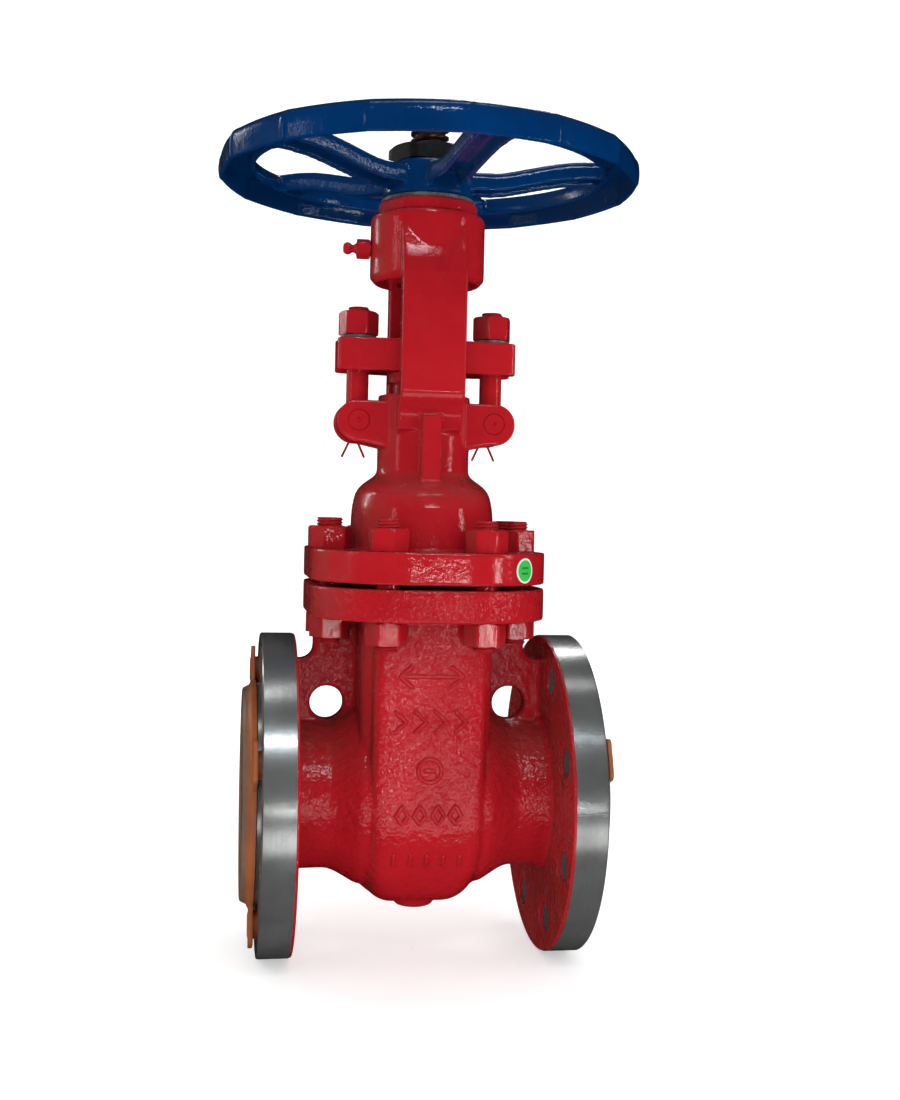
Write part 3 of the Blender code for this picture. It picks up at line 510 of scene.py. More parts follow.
def cover_plastic(name):
    """Moulded orange plastic, dusty and thin across the middle of the disc, which is tan there: a duller
    tone with a painted reflection.
    """
    look, tree, shader = shader_of(name, roughness=0.38)
    shader.inputs["Subsurface Weight"].default_value = 0.12
    shader.inputs["Subsurface Radius"].default_value = (0.004, 0.0015, 0.0005)
    where = place(tree)
    parts = split_up(tree, where)
    middle = remap(tree, distance(tree, parts["Y"], parts["Z"]), 0.0662, 0.0682, 1, 0)
    patch = remap(tree, noise(tree, where, 34, 5, 0.6), 0.35, 0.7, 0, 1)
    orange = mixed(tree, patch, (0.34, 0.085, 0.018), (0.24, 0.055, 0.012))
    # The tan middle is a duller tone with a painted reflection of the surroundings.
    tan_and_reflection = mixed(tree, patch, (0.17, 0.09, 0.055), (0.11, 0.06, 0.038))
    tone = mixed(tree, middle, orange, tan_and_reflection)
    dust = remap(tree, noise(tree, where, 480, 4, 0.7), 0.6, 0.75, 0, 0.35)
    tree.links.new(mixed(tree, dust, tone, (0.22, 0.15, 0.10)), shader.inputs["Base Color"])
    tree.links.new(remap(tree, noise(tree, where, 300, 3), 0.3, 0.7, 0.3, 0.5), shader.inputs["Roughness"])
    tree.links.new(bump(tree, noise(tree, where, 240, 3), 0.25, 0.0003), shader.inputs["Normal"])
    return look


def sticker_look(name):
    """A round sticker: a white edge round a green field, with two darker bars."""
    look, tree, shader = shader_of(name, roughness=0.32)
    attribute = tree.nodes.new("ShaderNodeAttribute")
    attribute.attribute_name = "spot"
    parts = split_up(tree, attribute.outputs["Vector"])
    edge = remap(tree, distance(tree, parts["X"], parts["Y"]), 0.84, 0.87, 0, 1)
    from_bar = calc(tree, "ABSOLUTE", calc(tree, "SUBTRACT", calc(tree, "ABSOLUTE", parts["Y"]), 0.22))
    from_middle = calc(tree, "ABSOLUTE", parts["X"])
    in_height = calc(tree, "LESS_THAN", from_bar, 0.07)
    bar = calc(tree, "MULTIPLY", in_height, calc(tree, "LESS_THAN", from_middle, 0.42))
    green = mixed(tree, bar, (0.02, 0.40, 0.05), (0.01, 0.13, 0.02))
    tree.links.new(mixed(tree, edge, green, (0.62, 0.62, 0.6)), shader.inputs["Base Color"])
    return look


RED = (0.355, 0.008, 0.013)
RED_SHADE = (0.285, 0.006, 0.010)
# The dust colours below are also painted shade on faces turned to the left.
RED_DUST_AND_SHADE = (0.15, 0.055, 0.042)
BLUE = (0.0, 0.024, 0.105)
BLUE_SHADE = (0.0, 0.017, 0.072)
BLUE_DUST_AND_SHADE = (0.02, 0.035, 0.06)
BLUE_WORN = (0.12, 0.15, 0.18)

LOOKS = {
    "red": paint("red_paint_look", RED, RED_SHADE, RED_DUST_AND_SHADE, 0.4, 0.95),
    "red_smooth": paint("red_paint_smooth", RED, RED_SHADE, RED_DUST_AND_SHADE, 0.22, 0.12),
    "red_plain": paint("red_paint_machined", RED, RED_SHADE, RED_DUST_AND_SHADE, 0.22, 0.12),
    "blue": paint("blue_paint_look", BLUE, BLUE_SHADE, BLUE_DUST_AND_SHADE, 0.3, 0.16, BLUE_WORN),
    "rim": lathe_steel("flange_steel_look", (0.50, 0.515, 0.51), (0.29, 0.295, 0.285), "X"),
    "washer": worn_metal("washer_steel_look", (0.42, 0.42, 0.41), (0.16, 0.15, 0.14), 0.34),
    "trim": lathe_steel("seat_steel_look", (0.62, 0.61, 0.58), (0.42, 0.41, 0.39), "X", 0.3),
    "stem": worn_metal("stem_steel_look", (0.12, 0.075, 0.06), (0.035, 0.022, 0.018), 0.34),
    "black": worn_metal("black_steel_look", (0.022, 0.023, 0.025), (0.008, 0.008, 0.008), 0.36, 0.6),
    "bronze": worn_metal("bronze_look", (0.55, 0.32, 0.13), (0.22, 0.12, 0.05), 0.34),
    "graphite": worn_metal("graphite_look", (0.05, 0.05, 0.052), (0.02, 0.02, 0.02), 0.55, 0.2),
    "orange": cover_plastic("orange_plastic_look"),
    "sticker": sticker_look("sticker_look"),
}


def piece(name, bm, look, body, stands_for=(), angle=38):
    """Store a solid as one piece of the valve, on the body that it moves with."""
    bmesh.ops.scale(bm, vec=(MM, MM, MM), verts=bm.verts)
    mesh = bpy.data.meshes.new(name)
    bm.to_mesh(mesh)
    bm.free()
    mesh.shade_smooth()
    mesh.set_sharp_from_angle(angle=math.radians(angle))
    for face in mesh.polygons:
        if max(abs(n) for n in face.normal) > 0.99999:
            face.use_smooth = False
    mesh.materials.append(LOOKS[look])
    made = bpy.data.objects.new(name, mesh)
    bpy.context.scene.collection.objects.link(made)
    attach(made, body)
    if stands_for:
        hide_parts(*stands_for)
    return made


# ---------------------------------------------------------------- body casting
def chamber_loop(x, side, depth, top, steps=40):
    """The chamber cut across at one x: straight sides over a half-round bottom."""
    loop = [Vector((x, side, top))]
    for i in range(steps + 1):
        turn = math.pi * i / steps
        loop.append(Vector((x, side * math.cos(turn), CHAMBER_Z - depth * math.sin(turn))))
    loop.append(Vector((x, -side, top)))
    return loop


def chamber(half_x, side, depth, front_fillet, low_fillet, top):
    """A flat-sided box with a half-round bottom and rounded long edges."""
    big = max(front_fillet, low_fillet)
    places = [half_x - big * (1 - math.sin(math.radians(90 - a))) for a in range(90, -1, -9)]
    places = sorted({round(x, 4) for x in places} | {0.0})
    sections = []
    for x in places:
        shrink = []
        for fillet in (front_fillet, low_fillet):
            past = max(0.0, x - (half_x - fillet))
            shrink.append(fillet - math.sqrt(max(0.0, fillet * fillet - past * past)))
        sections.append((x, side - shrink[0], depth - shrink[1]))
    sections = [(-x, s, d) for x, s, d in reversed(sections[1:])] + sections
    return skin([chamber_loop(x, s, d, top) for x, s, d in sections])


def web(side):
    """The plate with a hole between the neck and the joint flange."""
    outline = [(28, 34), (80, 34), (80, 85), *arc(75, 93, 8, 270, 180, 8), (67, 118), (28, 118)]
    plate = moved(prism(outline, -5.5, 5.5), UPRIGHT)
    hole = shifted(moved(rod(10.4, -20, 20), UPRIGHT), 58, 0, 57.3)
    return on_side(boolean(plate, hole), side)


def barrel():
    """The round necks and the flange backs, as one turned solid."""
    half = [
        (0, -80.3), (50, -80.3), (50, -78.6), (47.8, -77.4), (46.7, -75), (46.4, -72), (46.3, -60),
        (46.4, -57.5), (47.2, -54.5), (48.8, -51), (50.8, -47.5), (52.9, -44), (54.8, -41),
        (56.2, -38), (56.4, -34),
    ]
    return moved(turned(half + [(r, -x) for r, x in reversed(half)], 128), ALONG_X)


def painted_flange(side):
    """The painted back of one pipe flange, as far as the bare rim."""
    edge = FLANGE_RADIUS - 0.35
    front = RIM_BACK + PAINT_STEP
    outline = [(46, RIM_BACK), (edge - 0.55, RIM_BACK), (edge, RIM_BACK + 0.5), (edge, front), (46, front)]
    return on_side(moved(turned(outline, 192, ring=True), ALONG_X), side)


def bolt_places():
    """(y, z) of the eight flange bolt holes, astride the centre lines."""
    for i in range(8):
        turn = math.tau * (i + 0.5) / 8
        yield BOLT_CIRCLE * math.cos(turn), BOLT_CIRCLE * math.sin(turn)


def stud_places():
    for number in range(1, 9):
        middle = centre(f"bonnet_stud_{number}")
        yield middle.x, middle.y


def bolt_hole(y, z, side):
    """A flange bolt hole with a spot face at the back of the flange."""
    spot_face = RIM_BACK + 0.5
    outline = [(0, 73), (15, 73), (15, spot_face), (BOLT_HOLE, spot_face), (BOLT_HOLE, 90), (0, 90)]
    return on_side(shifted(moved(turned(outline, 48), ALONG_X), 0, y, z), side)


def stud_hole(x, y):
    """A stud hole with a spot face for its lower nut, deeper where the casting stands in its way."""
    low = 97 if abs(y) < 40 else 112
    spot_face = BODY_JOINT_LOW + 0.6
    high = BODY_TOP + 2
    outline = [
        (0, low), (13.6, low), (13.6, spot_face), (STUD_HOLE, spot_face), (STUD_HOLE, high), (0, high),
    ]
    return shifted(turned(outline, 48), x, y)


def body_casting():
    boss = [(0, -71.5), (10.5, -71.5), (12.5, -70.6), (13, -68), (13.5, -63), (17, -58), (0, -50)]
    shells = [
        barrel(),
        chamber(40.2, 50, 59.5, 14, 21, 122),
        chamber(34.2, PANEL_FRONT, PANEL_DEPTH, 6.5, 19, 122),
        prism(rounded(JOINT_HALF_X, JOINT_HALF_Y, JOINT_CORNER), BODY_JOINT_LOW, BODY_TOP),
        turned(boss, 48),
        web(1),
        web(-1),
    ]
    mass = cast(shells, BODY_VOXEL, 7)
    for side in (1, -1):
        mass = boolean(mass, painted_flange(side), "UNION")
    cavity = [
        chamber(29, 50, 50, 6, 6, 140),
        moved(rod(PORT, -90, 90, 96), ALONG_X),
        moved(rod(46.3, -36.3, 36.3, 96), ALONG_X),
    ]
    for cutter in cavity:
        mass = boolean(mass, cutter)
    holes = [bolt_hole(y, z, side) for side in (1, -1) for y, z in bolt_places()]
    holes += [stud_hole(x, y) for x, y in stud_places()]
    return boolean(mass, merged(holes))


def flange_disc(side):
    """The machined part of one pipe flange: rim, face and raised face."""
    bore = PORT + 0.05
    back = RIM_BACK + PAINT_STEP - 0.2
    outline = [
        (bore, back), (FLANGE_RADIUS, back), (FLANGE_RADIUS, RIM_FRONT - 0.7),
        (FLANGE_RADIUS - 0.7, RIM_FRONT), (RAISED_FACE, RIM_FRONT), (RAISED_FACE, FACE - 0.3),
        (RAISED_FACE - 0.3, FACE), (bore + 0.95, FACE), (bore, FACE - 1),
    ]
    disc = moved(turned(outline, 192, ring=True), ALONG_X)
    holes = [shifted(moved(rod(BOLT_HOLE, 70, 110, 48), ALONG_X), 0, y, z) for y, z in bolt_places()]
    return on_side(boolean(disc, merged(holes)), side)


def panel_y(z):
    """How far forward the chamber's front stands at one height."""
    low = min(0, z - CHAMBER_Z) / PANEL_DEPTH
    return -PANEL_FRONT * math.sqrt(1 - low * low)


def on_panel(points):
    """Lay flat (x, z) points on the chamber's front."""
    return [(x, panel_y(z) + 0.25, z) for x, z in points]


def path_of(*corners, count=6):
    """Straight lines from corner to corner, in short steps that can follow the panel."""
    points = [corners[0]]
    for start, end in zip(corners, corners[1:]):
        for i in range(1, count + 1):
            points.append([a + (b - a) * i / count for a, b in zip(start, end)])
    return points


def cast_marks():
    """Plain raised marks on the front: a two-way arrow, chevrons, a ring, diamonds and bars."""
    strokes = [path_of((-18, 80), (18, 80))]
    for side in (-1, 1):
        strokes.append(path_of((side * 12, 86), (side * 19, 80), (side * 12, 74)))
    for x in (-18, -6, 6, 18):
        strokes.append(path_of((x - 3.2, 59), (x + 3.2, 53), (x - 3.2, 47)))
    strokes += [arc(0, 24, 7, 0, 360, 24), path_of((-2.6, 24), (2.6, 24))]
    for x in (-16, -5.5, 5.5, 16):
        strokes.append(path_of((x - 3.6, -3), (x, 3), (x + 3.6, -3), (x, -8), (x - 3.4, -3.4)))
    for x in (-20, -10, 0, 10, 20):
        strokes.append(path_of((x, -28), (x, -34)))
    return merged([sweep(on_panel(points), 1.45) for points in strokes])


piece("body_casting", body_casting(), "red", "valve_body", ["body"])
piece("cast_marks", cast_marks(), "red", "valve_body")
for tag, side in (("right", 1), ("left", -1)):
    piece(f"machined_flange_{tag}", flange_disc(side), "rim", "valve_body")


# ---------------------------------------------------------------- bonnet casting
def dome():
    """The oval dome, drawn in to the round neck."""
    sections = [
        (44.7, 60.2, 150), (44.6, 60.1, 166), (44.4, 59.6, 174), (43.9, 58.3, 180),
        (43.2, 56.4, 184), (42.2, 53.6, 188), (40.6, 49.4, 191.2), (38.3, 44.2, 193.8),
        (35.6, 38.8, 196), (32.4, 33.6, 198.2), (29.8, 29.8, 200.4), (28.9, 28.9, 203),
    ]
    return skin([oval(x, y, z, 96) for x, y, z in sections])


def ear(side_x, side_y):
    """One of the four ears that hold the hinge pins."""
    middle_x = PIN_X + 0.6
    middle_z = PIN_Z - 0.5
    round_end = arc(middle_x, middle_z, 13, -98, 90, 24)
    outline = [(12, 216), (27.5, 217.2), *round_end, (12, middle_z + 13)]
    plate = moved(prism(outline, 7.4, 15.6), UPRIGHT)
    return on_side(on_side(plate, side_x), -side_y, FLIP_Y)


def arm(side):
    """A yoke arm, from the bonnet's neck to the hub."""
    outline = [
        (22, 226), (28.6, 228), (29.6, 232), (31.6, 237), (34.8, 242), (38.4, 246.4), (40.3, 250),
        (40.3, 322.5), (35.8, 339), (32.5, 349), (28.5, 357), (26, 357), (28.3, 322), (27.7, 318),
        (27.7, 258), (27, 253.5), (24.5, 250.5), (22, 249.5),
    ]
    return on_side(moved(prism(outline, -19.8, 19.8), SIDE_ON), side, FLIP_Y)


def bonnet_stud_hole(x, y):
    """A stud hole through the bonnet flange, spot faced for its upper nut."""
    low = BONNET_BOTTOM - 2
    spot_face = BONNET_JOINT_TOP - 0.5
    outline = [
        (0, low), (STUD_HOLE, low), (STUD_HOLE, spot_face), (13.4, spot_face), (13.4, 156.5), (0, 156.5),
    ]
    return shifted(turned(outline, 48), x, y)


def bonnet_casting():
    hub = [(0, 320), (32.5, 320), (35.9, 323.5), (35.9, 358.5), (35.4, 361), (33.5, 362.2), (0, 362.2)]
    shells = [
        prism(rounded(JOINT_HALF_X, JOINT_HALF_Y, JOINT_CORNER), BONNET_BOTTOM, BONNET_JOINT_TOP),
        dome(),
        rod(28.9, 195, 250.2, 96),
        turned(hub, 96),
    ]
    for side in (-1, 1):
        rib = sorted((side * 20, side * 38.2))
        shells.append(block((-5.7, 5.7), rib, (186, 236.2)))
        shells += [ear(side, 1), ear(side, -1), arm(side)]
    mass = cast(shells, BONNET_VOXEL, 5)
    dome_cavity = [(33, 50, 130), (34.5, 50.5, 165), (33, 46, 178), (27, 36, 186)]
    mass = boolean(mass, skin([oval(x, y, z, 64) for x, y, z in dome_cavity]))
    mass = boolean(mass, rod(19.3, 180, 195))
    neck_bore = [
        (0, 188), (19.3, 188), (19.3, 203), (13, 203), (13, 207), (21, 207), (21, 262), (0, 262),
    ]
    hub_bore = [(0, 300), (19, 300), (19, 334.7), (28, 334.7), (28, 370), (0, 370)]
    cutters = [turned(neck_bore, 64), turned(hub_bore, 64)]
    cutters += [bonnet_stud_hole(x, y) for x, y in stud_places()]
    for side in (-1, 1):
        cutters.append(shifted(moved(rod(6.68, -30, 30, 48), UPRIGHT), side * PIN_X, 0, PIN_Z))
    mass = boolean(mass, merged(cutters))
    grease_port = moved(rod(3.5, -45, -24, 24), ALONG_X)
    return boolean(mass, shifted(grease_port, 0, 0, centre("grease_nipple").z))


piece("bonnet_casting", bonnet_casting(), "red_smooth", "valve_body", ["bonnet_yoke"])


# ---------------------------------------------------------------- fasteners
def stud(low, high):
    """A stud with a thread at each end."""
    threads = [(low - 5, low + 24), (high - 24, high + 5)]
    return threaded(STUD_RADIUS, STUD_GROOVE, STUD_PITCH, low, high, threads)


def stud_nut(node, degrees):
    low, high = limits(node)
    return spun(nut(NUT_FLATS, NUT_BORE, low.z, high.z), degrees)


for number, (x, y) in enumerate(stud_places(), 1):
    node = f"bonnet_stud_{number}"
    low, high = limits(node)
    bolt = spun(stud(low.z, high.z), math.degrees(0.7 * number))
    piece(f"threaded_stud_{number}", shifted(bolt, x, y), "red_plain", "valve_body", [node])
    for name, degrees in (("upper", 37 * number), ("lower", 0)):
        node = f"bonnet_nut_{name}_{number}"
        hexagon = shifted(stud_nut(node, degrees), x, y)
        piece(f"painted_{name}_nut_{number}", hexagon, "red_plain", "valve_body", [node])


def spring_washer(x, low, high):
    """A split ring whose ends stand a little apart."""
    loops = []
    for i in range(65):
        turn = math.radians(4) + math.radians(352) * i / 64
        rise = 0.25 * (i / 64 - 0.5)
        section = []
        for r, z in ((7.5, low + 0.25), (11.3, low + 0.25), (11.3, high - 0.25), (7.5, high - 0.25)):
            section.append(Vector((x + r * math.cos(turn), r * math.sin(turn), z + rise)))
        loops.append(section)
    return softened(skin(loops), 0.25)


def eyebolt(side, high):
    """A swing bolt: an eye on the hinge pin and a shank threaded at its end."""
    x = side * PIN_X
    eye = [(6.9, -6.9), (10.2, -6.9), (11.2, -5.9), (11.2, 5.9), (10.2, 6.9), (6.9, 6.9)]
    eye = shifted(moved(turned(eye, 64, ring=True), UPRIGHT), x, 0, PIN_Z)
    thread = [(GLAND_HIGH.z - 4, high + 5)]
    shank = threaded(STUD_RADIUS, STUD_GROOVE, STUD_PITCH, PIN_Z + 8, high, thread)
    return boolean(eye, shifted(shank, x), "UNION")


def split_pin(side):
    """One wire folded at its eye, its two legs spread under the hinge pin."""
    gap = 0.85
    leg = [
        (-7, -21.3), (-6.3, -19.6), (-5.2, -17.3), (-3.7, -14), (-2.2, -11), (-1.2, -9), (-gap, -7.5),
    ]
    eye = arc(0, 10.6, 2.1, 215, -35, 16)
    path = leg + [(-gap, 8)] + eye + [(gap, 8)] + [(-x, z) for x, z in reversed(leg)]
    return sweep([(side * PIN_X + x, 20.5, PIN_Z + z) for x, z in path], 0.75)


def hinge_pin(side):
    """A headed pin through both ears, drilled for its split pin."""
    outline = [
        (0, -24), (5.6, -24), (6.6, -23), (6.6, 15.3), (6.2, 16), (1.5, 16), (0.6, 14.9), (0, 14.7),
    ]
    pin = moved(turned(outline, 48), UPRIGHT)
    hole = shifted(rod(2.3, -12, 12, 24), 0, 20.5)
    return shifted(boolean(pin, hole), side * PIN_X, 0, PIN_Z)


for tag, side in (("left", -1), ("right", 1)):
    bolt_body = f"eyebolt_{tag}_body"
    nut_body = f"eyebolt_{tag}_nut_body"
    x = side * PIN_X
    bolt = eyebolt(side, limits(f"eyebolt_{tag}")[1].z)
    piece(f"swing_bolt_{tag}", bolt, "red_plain", bolt_body, [f"eyebolt_{tag}"])
    node = f"eyebolt_nut_{tag}"
    piece(f"gland_nut_{tag}", shifted(stud_nut(node, 10 * side), x), "red_plain", nut_body, [node])
    node = f"spring_washer_{tag}"
    low, high = limits(node)
    piece(f"split_washer_{tag}", spring_washer(x, low.z, high.z), "washer", nut_body, [node])
    piece(f"clevis_pin_{tag}", hinge_pin(side), "red_plain", "valve_body", [f"hinge_pin_{tag}"])
    piece(f"cotter_{tag}", split_pin(side), "red_plain", "valve_body", [f"split_pin_{tag}"])


# ---------------------------------------------------------------- gland
def gland_plate():
    """The cast gland flange, open at both ends for the swing bolts."""
    quarter = [
        (9, 20.6), (15, 20.2), (22, 18.9), (30, 17.2), (38, 16), (51.5, 15), (54.4, 13.8), (56, 11),
    ]
    outline = quarter + [(x, -y) for x, y in reversed(quarter)]
    outline += [(-x, -y) for x, y in quarter] + [(-x, y) for x, y in reversed(quarter)]
    plate = cast([prism(outline, GLAND_LOW.z, GLAND_HIGH.z)], GLAND_VOXEL, 3)
    cutters = [rod(13, 240, 300)]
    for side in (-1, 1):
        slot = [(70, GLAND_SLOT), (70, -GLAND_SLOT), *arc(PIN_X, 0, GLAND_SLOT, -90, -270, 24)]
        cutters.append(on_side(prism(slot, 250, 300), side))
    return boolean(plate, merged(cutters))


def gland_follower():
    """The bush under the gland flange, with a collar at its top."""
    low, high = limits("gland_bush")
    outline = [
        (12.5, low.z), (20.4, low.z), (20.4, 257.5), (22.8, 257.5), (23.5, 258.2), (23.5, high.z),
        (12.5, high.z),
    ]
    return turned(outline, 72, ring=True)


piece("gland_plate", gland_plate(), "red_plain", "valve_body", ["gland_flange"])
piece("gland_follower", gland_follower(), "red_plain", "valve_body", ["gland_bush"])


# ---------------------------------------------------------------- stem and drive
def stem_shape():
    """Tee head, collar and a trapezoidal thread at 5 mm pitch, left plain through the packing."""
    low, top = STEM_LOW.z, STEM_HIGH.z
    collar = [
        (0, low + 8), (8, low + 8), (8, 67), (STEM_RADIUS, 71), (STEM_RADIUS, 96), (15.5, 98), (15.5, 102),
        (STEM_RADIUS, 106), (STEM_RADIUS, 140), (0, 140),
    ]
    head = boolean(turned(collar, 64), block((-12, 12), (-13, 13), (low, low + 10)), "UNION")
    thread = [(289, top + 6)]
    screw = threaded(
        STEM_RADIUS, STEM_GROOVE, STEM_PITCH, 130, top, thread, sides=48, square=True, lip=2.0
    )
    return boolean(head, screw, "UNION")


def yoke_cap():
    """The screwed cap that holds the stem nut in the hub."""
    low, high = limits("yoke_cap")
    outline = [
        (17.6, low.z), (27.5, low.z), (27.5, 362.3), (30.4, 362.3), (31.2, 363), (31.2, high.z - 1.4),
        (30, high.z), (17.6, high.z),
    ]
    return turned(outline, 96, ring=True)


def stem_nut_shape():
    """The nut that drives the stem: a collar inside the hub and a keyed sleeve up into the wheel."""
    low, high = limits("stem_nut")
    outline = [
        (12.5, low.z), (18.3, low.z), (18.5, low.z + 0.5), (18.5, 335), (27, 335), (27, 346), (17, 346),
        (17, 394.7), (15.8, 394.7), (15.8, high.z - 0.8), (15, high.z), (13.2, high.z),
        (12.5, high.z - 0.7),
    ]
    nut_blank = turned(outline, 72, ring=True)
    return boolean(nut_blank, block(KEYWAY, (14.9, 20), (375.7, 394)))


def nipple():
    """The grease nipple: hexagon, neck and ball head."""
    z = centre("grease_nipple").z
    head = [
        (0, -53), (2.1, -53), (2.9, -52.6), (3.7, -51.4), (3.9, -50.2), (3.6, -49), (2.6, -47.8),
        (2.4, -46.6), (3.3, -45.2), (4.4, -44.4),
    ]
    body = head + [(4.4, -36.3), (3.0, -36.2), (3.0, -28.5), (0, -28.5)]
    hexagon = nut(11, 2.4, -44.5, -36.4, 72)
    joined = boolean(hexagon, turned(body, 48), "UNION")
    return shifted(moved(joined, ALONG_X), 0, 0, z)


SPOKE_COUNT = 5
SPOKE_ANGLE = 355
SCALLOPS = 15
SCALLOP_START = 7
SCALLOP_DEPTH = 2.3
RIM_INSIDE = 108.5


def wheel_rim(sides=360):
    """The rim: a channel open below, with shallow finger scallops round its outside."""
    top, edge, lip = WHEEL_TOP, WHEEL_RADIUS, RIM_INSIDE
    section = [
        (edge - 0.9, top - 19.6, 0.7), (edge - 0.1, top - 15.5, 1), (edge, top - 11.5, 1),
        (edge - 0.4, top - 7, 1), (edge - 1.6, top - 3.8, 0.9), (edge - 4.2, top - 1.5, 0.7),
        (edge - 8, top - 0.3, 0.3), (edge - 12, top, 0), (lip + 6, top - 0.9, 0), (lip + 2.6, top - 2.6, 0),
        (lip + 0.8, top - 5.4, 0), (lip, top - 9, 0), (lip, top - 13.5, 0), (lip + 2.4, top - 13.5, 0),
        (lip + 3.6, top - 8, 0), (lip + 6, top - 5.9, 0), (edge - 9.4, top - 5.3, 0.2),
        (edge - 6, top - 7.6, 0.6), (edge - 4.6, top - 12, 0.8), (edge - 3.9, top - 19.6, 0.7),
    ]
    loops = []
    for r, z, share in section:
        loop = []
        for i in range(sides):
            turn = math.tau * i / sides
            phase = ((math.degrees(turn) - SCALLOP_START) * SCALLOPS / 360) % 1
            hollow = SCALLOP_DEPTH * math.sin(math.pi * phase) ** 0.45
            radius = r - share * hollow
            loop.append(Vector((radius * math.cos(turn), radius * math.sin(turn), z)))
        loops.append(loop)
    return skin(loops, ring=True)


def spoke():
    """One spoke along +X: a channel open below that climbs in an S to the rim."""
    stations = [
        (20, 391, 23), (32, 391, 22), (42, 391, 21.3), (48, 391.6, 21.2), (54, 392.8, 21.3),
        (64, 395, 21.6), (74, 397.2, 21.9), (84, 399, 22.2), (92, 399.9, 22.7), (100, 400.2, 23.4),
        (112, 400.2, 24.6),
    ]
    loops = []
    for radius, top, wide in stations:
        half = wide / 2
        low = top - 12
        outside = [(half, low), (half - 0.3, top - 4), (half - 1.5, top - 1.2), (half - 4, top)]
        inside = [(half - 3.2, low), (half - 4, top - 5.5), (half - 5.5, top - 4.2)]
        section = outside + [(-y, z) for y, z in reversed(outside)]
        section += [(-y, z) for y, z in inside] + inside[::-1]
        loops.append([Vector((radius, y, z)) for y, z in section])
    return skin(loops)


def handwheel():
    """Rim, spokes and hub in one casting, bored and keyed for the stem nut."""
    seat = WHEEL_LOW.z
    hub_top = limits("handwheel_nut")[0].z - 0.3
    hub = [
        (0, seat + 0.2), (28.8, seat + 0.2), (29.2, seat + 3), (27.4, seat + 7), (26.6, hub_top - 3),
        (25.6, hub_top - 1), (24, hub_top), (0, hub_top),
    ]
    shells = [wheel_rim(), turned(hub, 96)]
    for i in range(SPOKE_COUNT):
        shells.append(spun(spoke(), SPOKE_ANGLE + 360 * i / SPOKE_COUNT))
    mass = cast(shells, WHEEL_VOXEL, 8)
    mass = boolean(mass, rod(17.4, 360, 410, 64))
    underside = [(40, 362), (40, seat + 0.05), (10, seat + 0.05), (10, 362)]
    mass = boolean(mass, turned(underside, 96, ring=True))
    return boolean(mass, block(KEYWAY, (10, 19.8), (365, 402)))


def washer_ring():
    low, high = limits("thrust_washer")
    outline = [
        (17.5, low.z), (29.2, low.z), (29.5, low.z + 0.3), (29.5, high.z - 0.3), (29.2, high.z),
        (17.5, high.z),
    ]
    return turned(outline, 96, ring=True)


low, high = limits("handwheel_nut")
piece("rising_stem", stem_shape(), "stem", "stem_and_wedge", ["stem"])
piece("screwed_cap", yoke_cap(), "red_plain", "valve_body", ["yoke_cap"])
piece("grease_fitting", nipple(), "red_plain", "valve_body", ["grease_nipple"])
piece("yoke_nut", stem_nut_shape(), "bronze", "drive", ["stem_nut"])
piece("spoked_wheel", handwheel(), "blue", "drive", ["handwheel"])
piece("turned_washer", washer_ring(), "washer", "drive", ["thrust_washer"])
piece("wheel_lock_nut", nut(46, 16.2, low.z, high.z), "black", "drive", ["handwheel_nut"])


# ---------------------------------------------------------------- covers
def cover(side, first):
    """A dished plastic cover with four tabs and pegs, moulded in one piece."""
    gap = 0.3
    dish = [
        (0, gap), (70, gap), (70, 2.6), (69.6, 3.4), (68.4, 3.9), (67.2, 4.6), (66.4, 6.4), (65.4, 8.1),
        (64.4, 8.5), (63.2, 8.2), (62.2, 7.2), (60, 6.9), (40, 7.4), (20, 7.7), (0, 7.8),
    ]
    solids = [turned(dish, 144)]
    for i in range(4):
        turn = Matrix.Rotation(first + math.tau * i / 4, 4, "Z")
        outline = rounded(22, 12.5, 4, 6)
        tab = softened(shifted(prism(outline, gap, 3), 71), 0.5)
        solids.append(moved(tab, turn))
        peg = [(0, -12), (6.6, -12), (7.6, -10.5), (8.3, -8), (8.3, 2.9), (6.8, 3.6), (5.6, 2.6), (0, 2.3)]
        solids.append(moved(shifted(turned(peg, 40), 80), turn))
    whole = solids[0]
    for solid in solids[1:]:
        whole = boolean(whole, solid, "UNION")
    seat = Matrix.Translation((side * FACE, 0, 0)) @ Matrix.Rotation(math.radians(90 * side), 4, "Y")
    return moved(whole, seat)


for tag, side, first in (("left", -1, 22.5), ("right", 1, 67.5)):
    moulded = cover(side, math.radians(first))
    piece(f"plastic_cover_{tag}", moulded, "orange", f"cover_{tag}_body", [f"flange_cover_{tag}"])


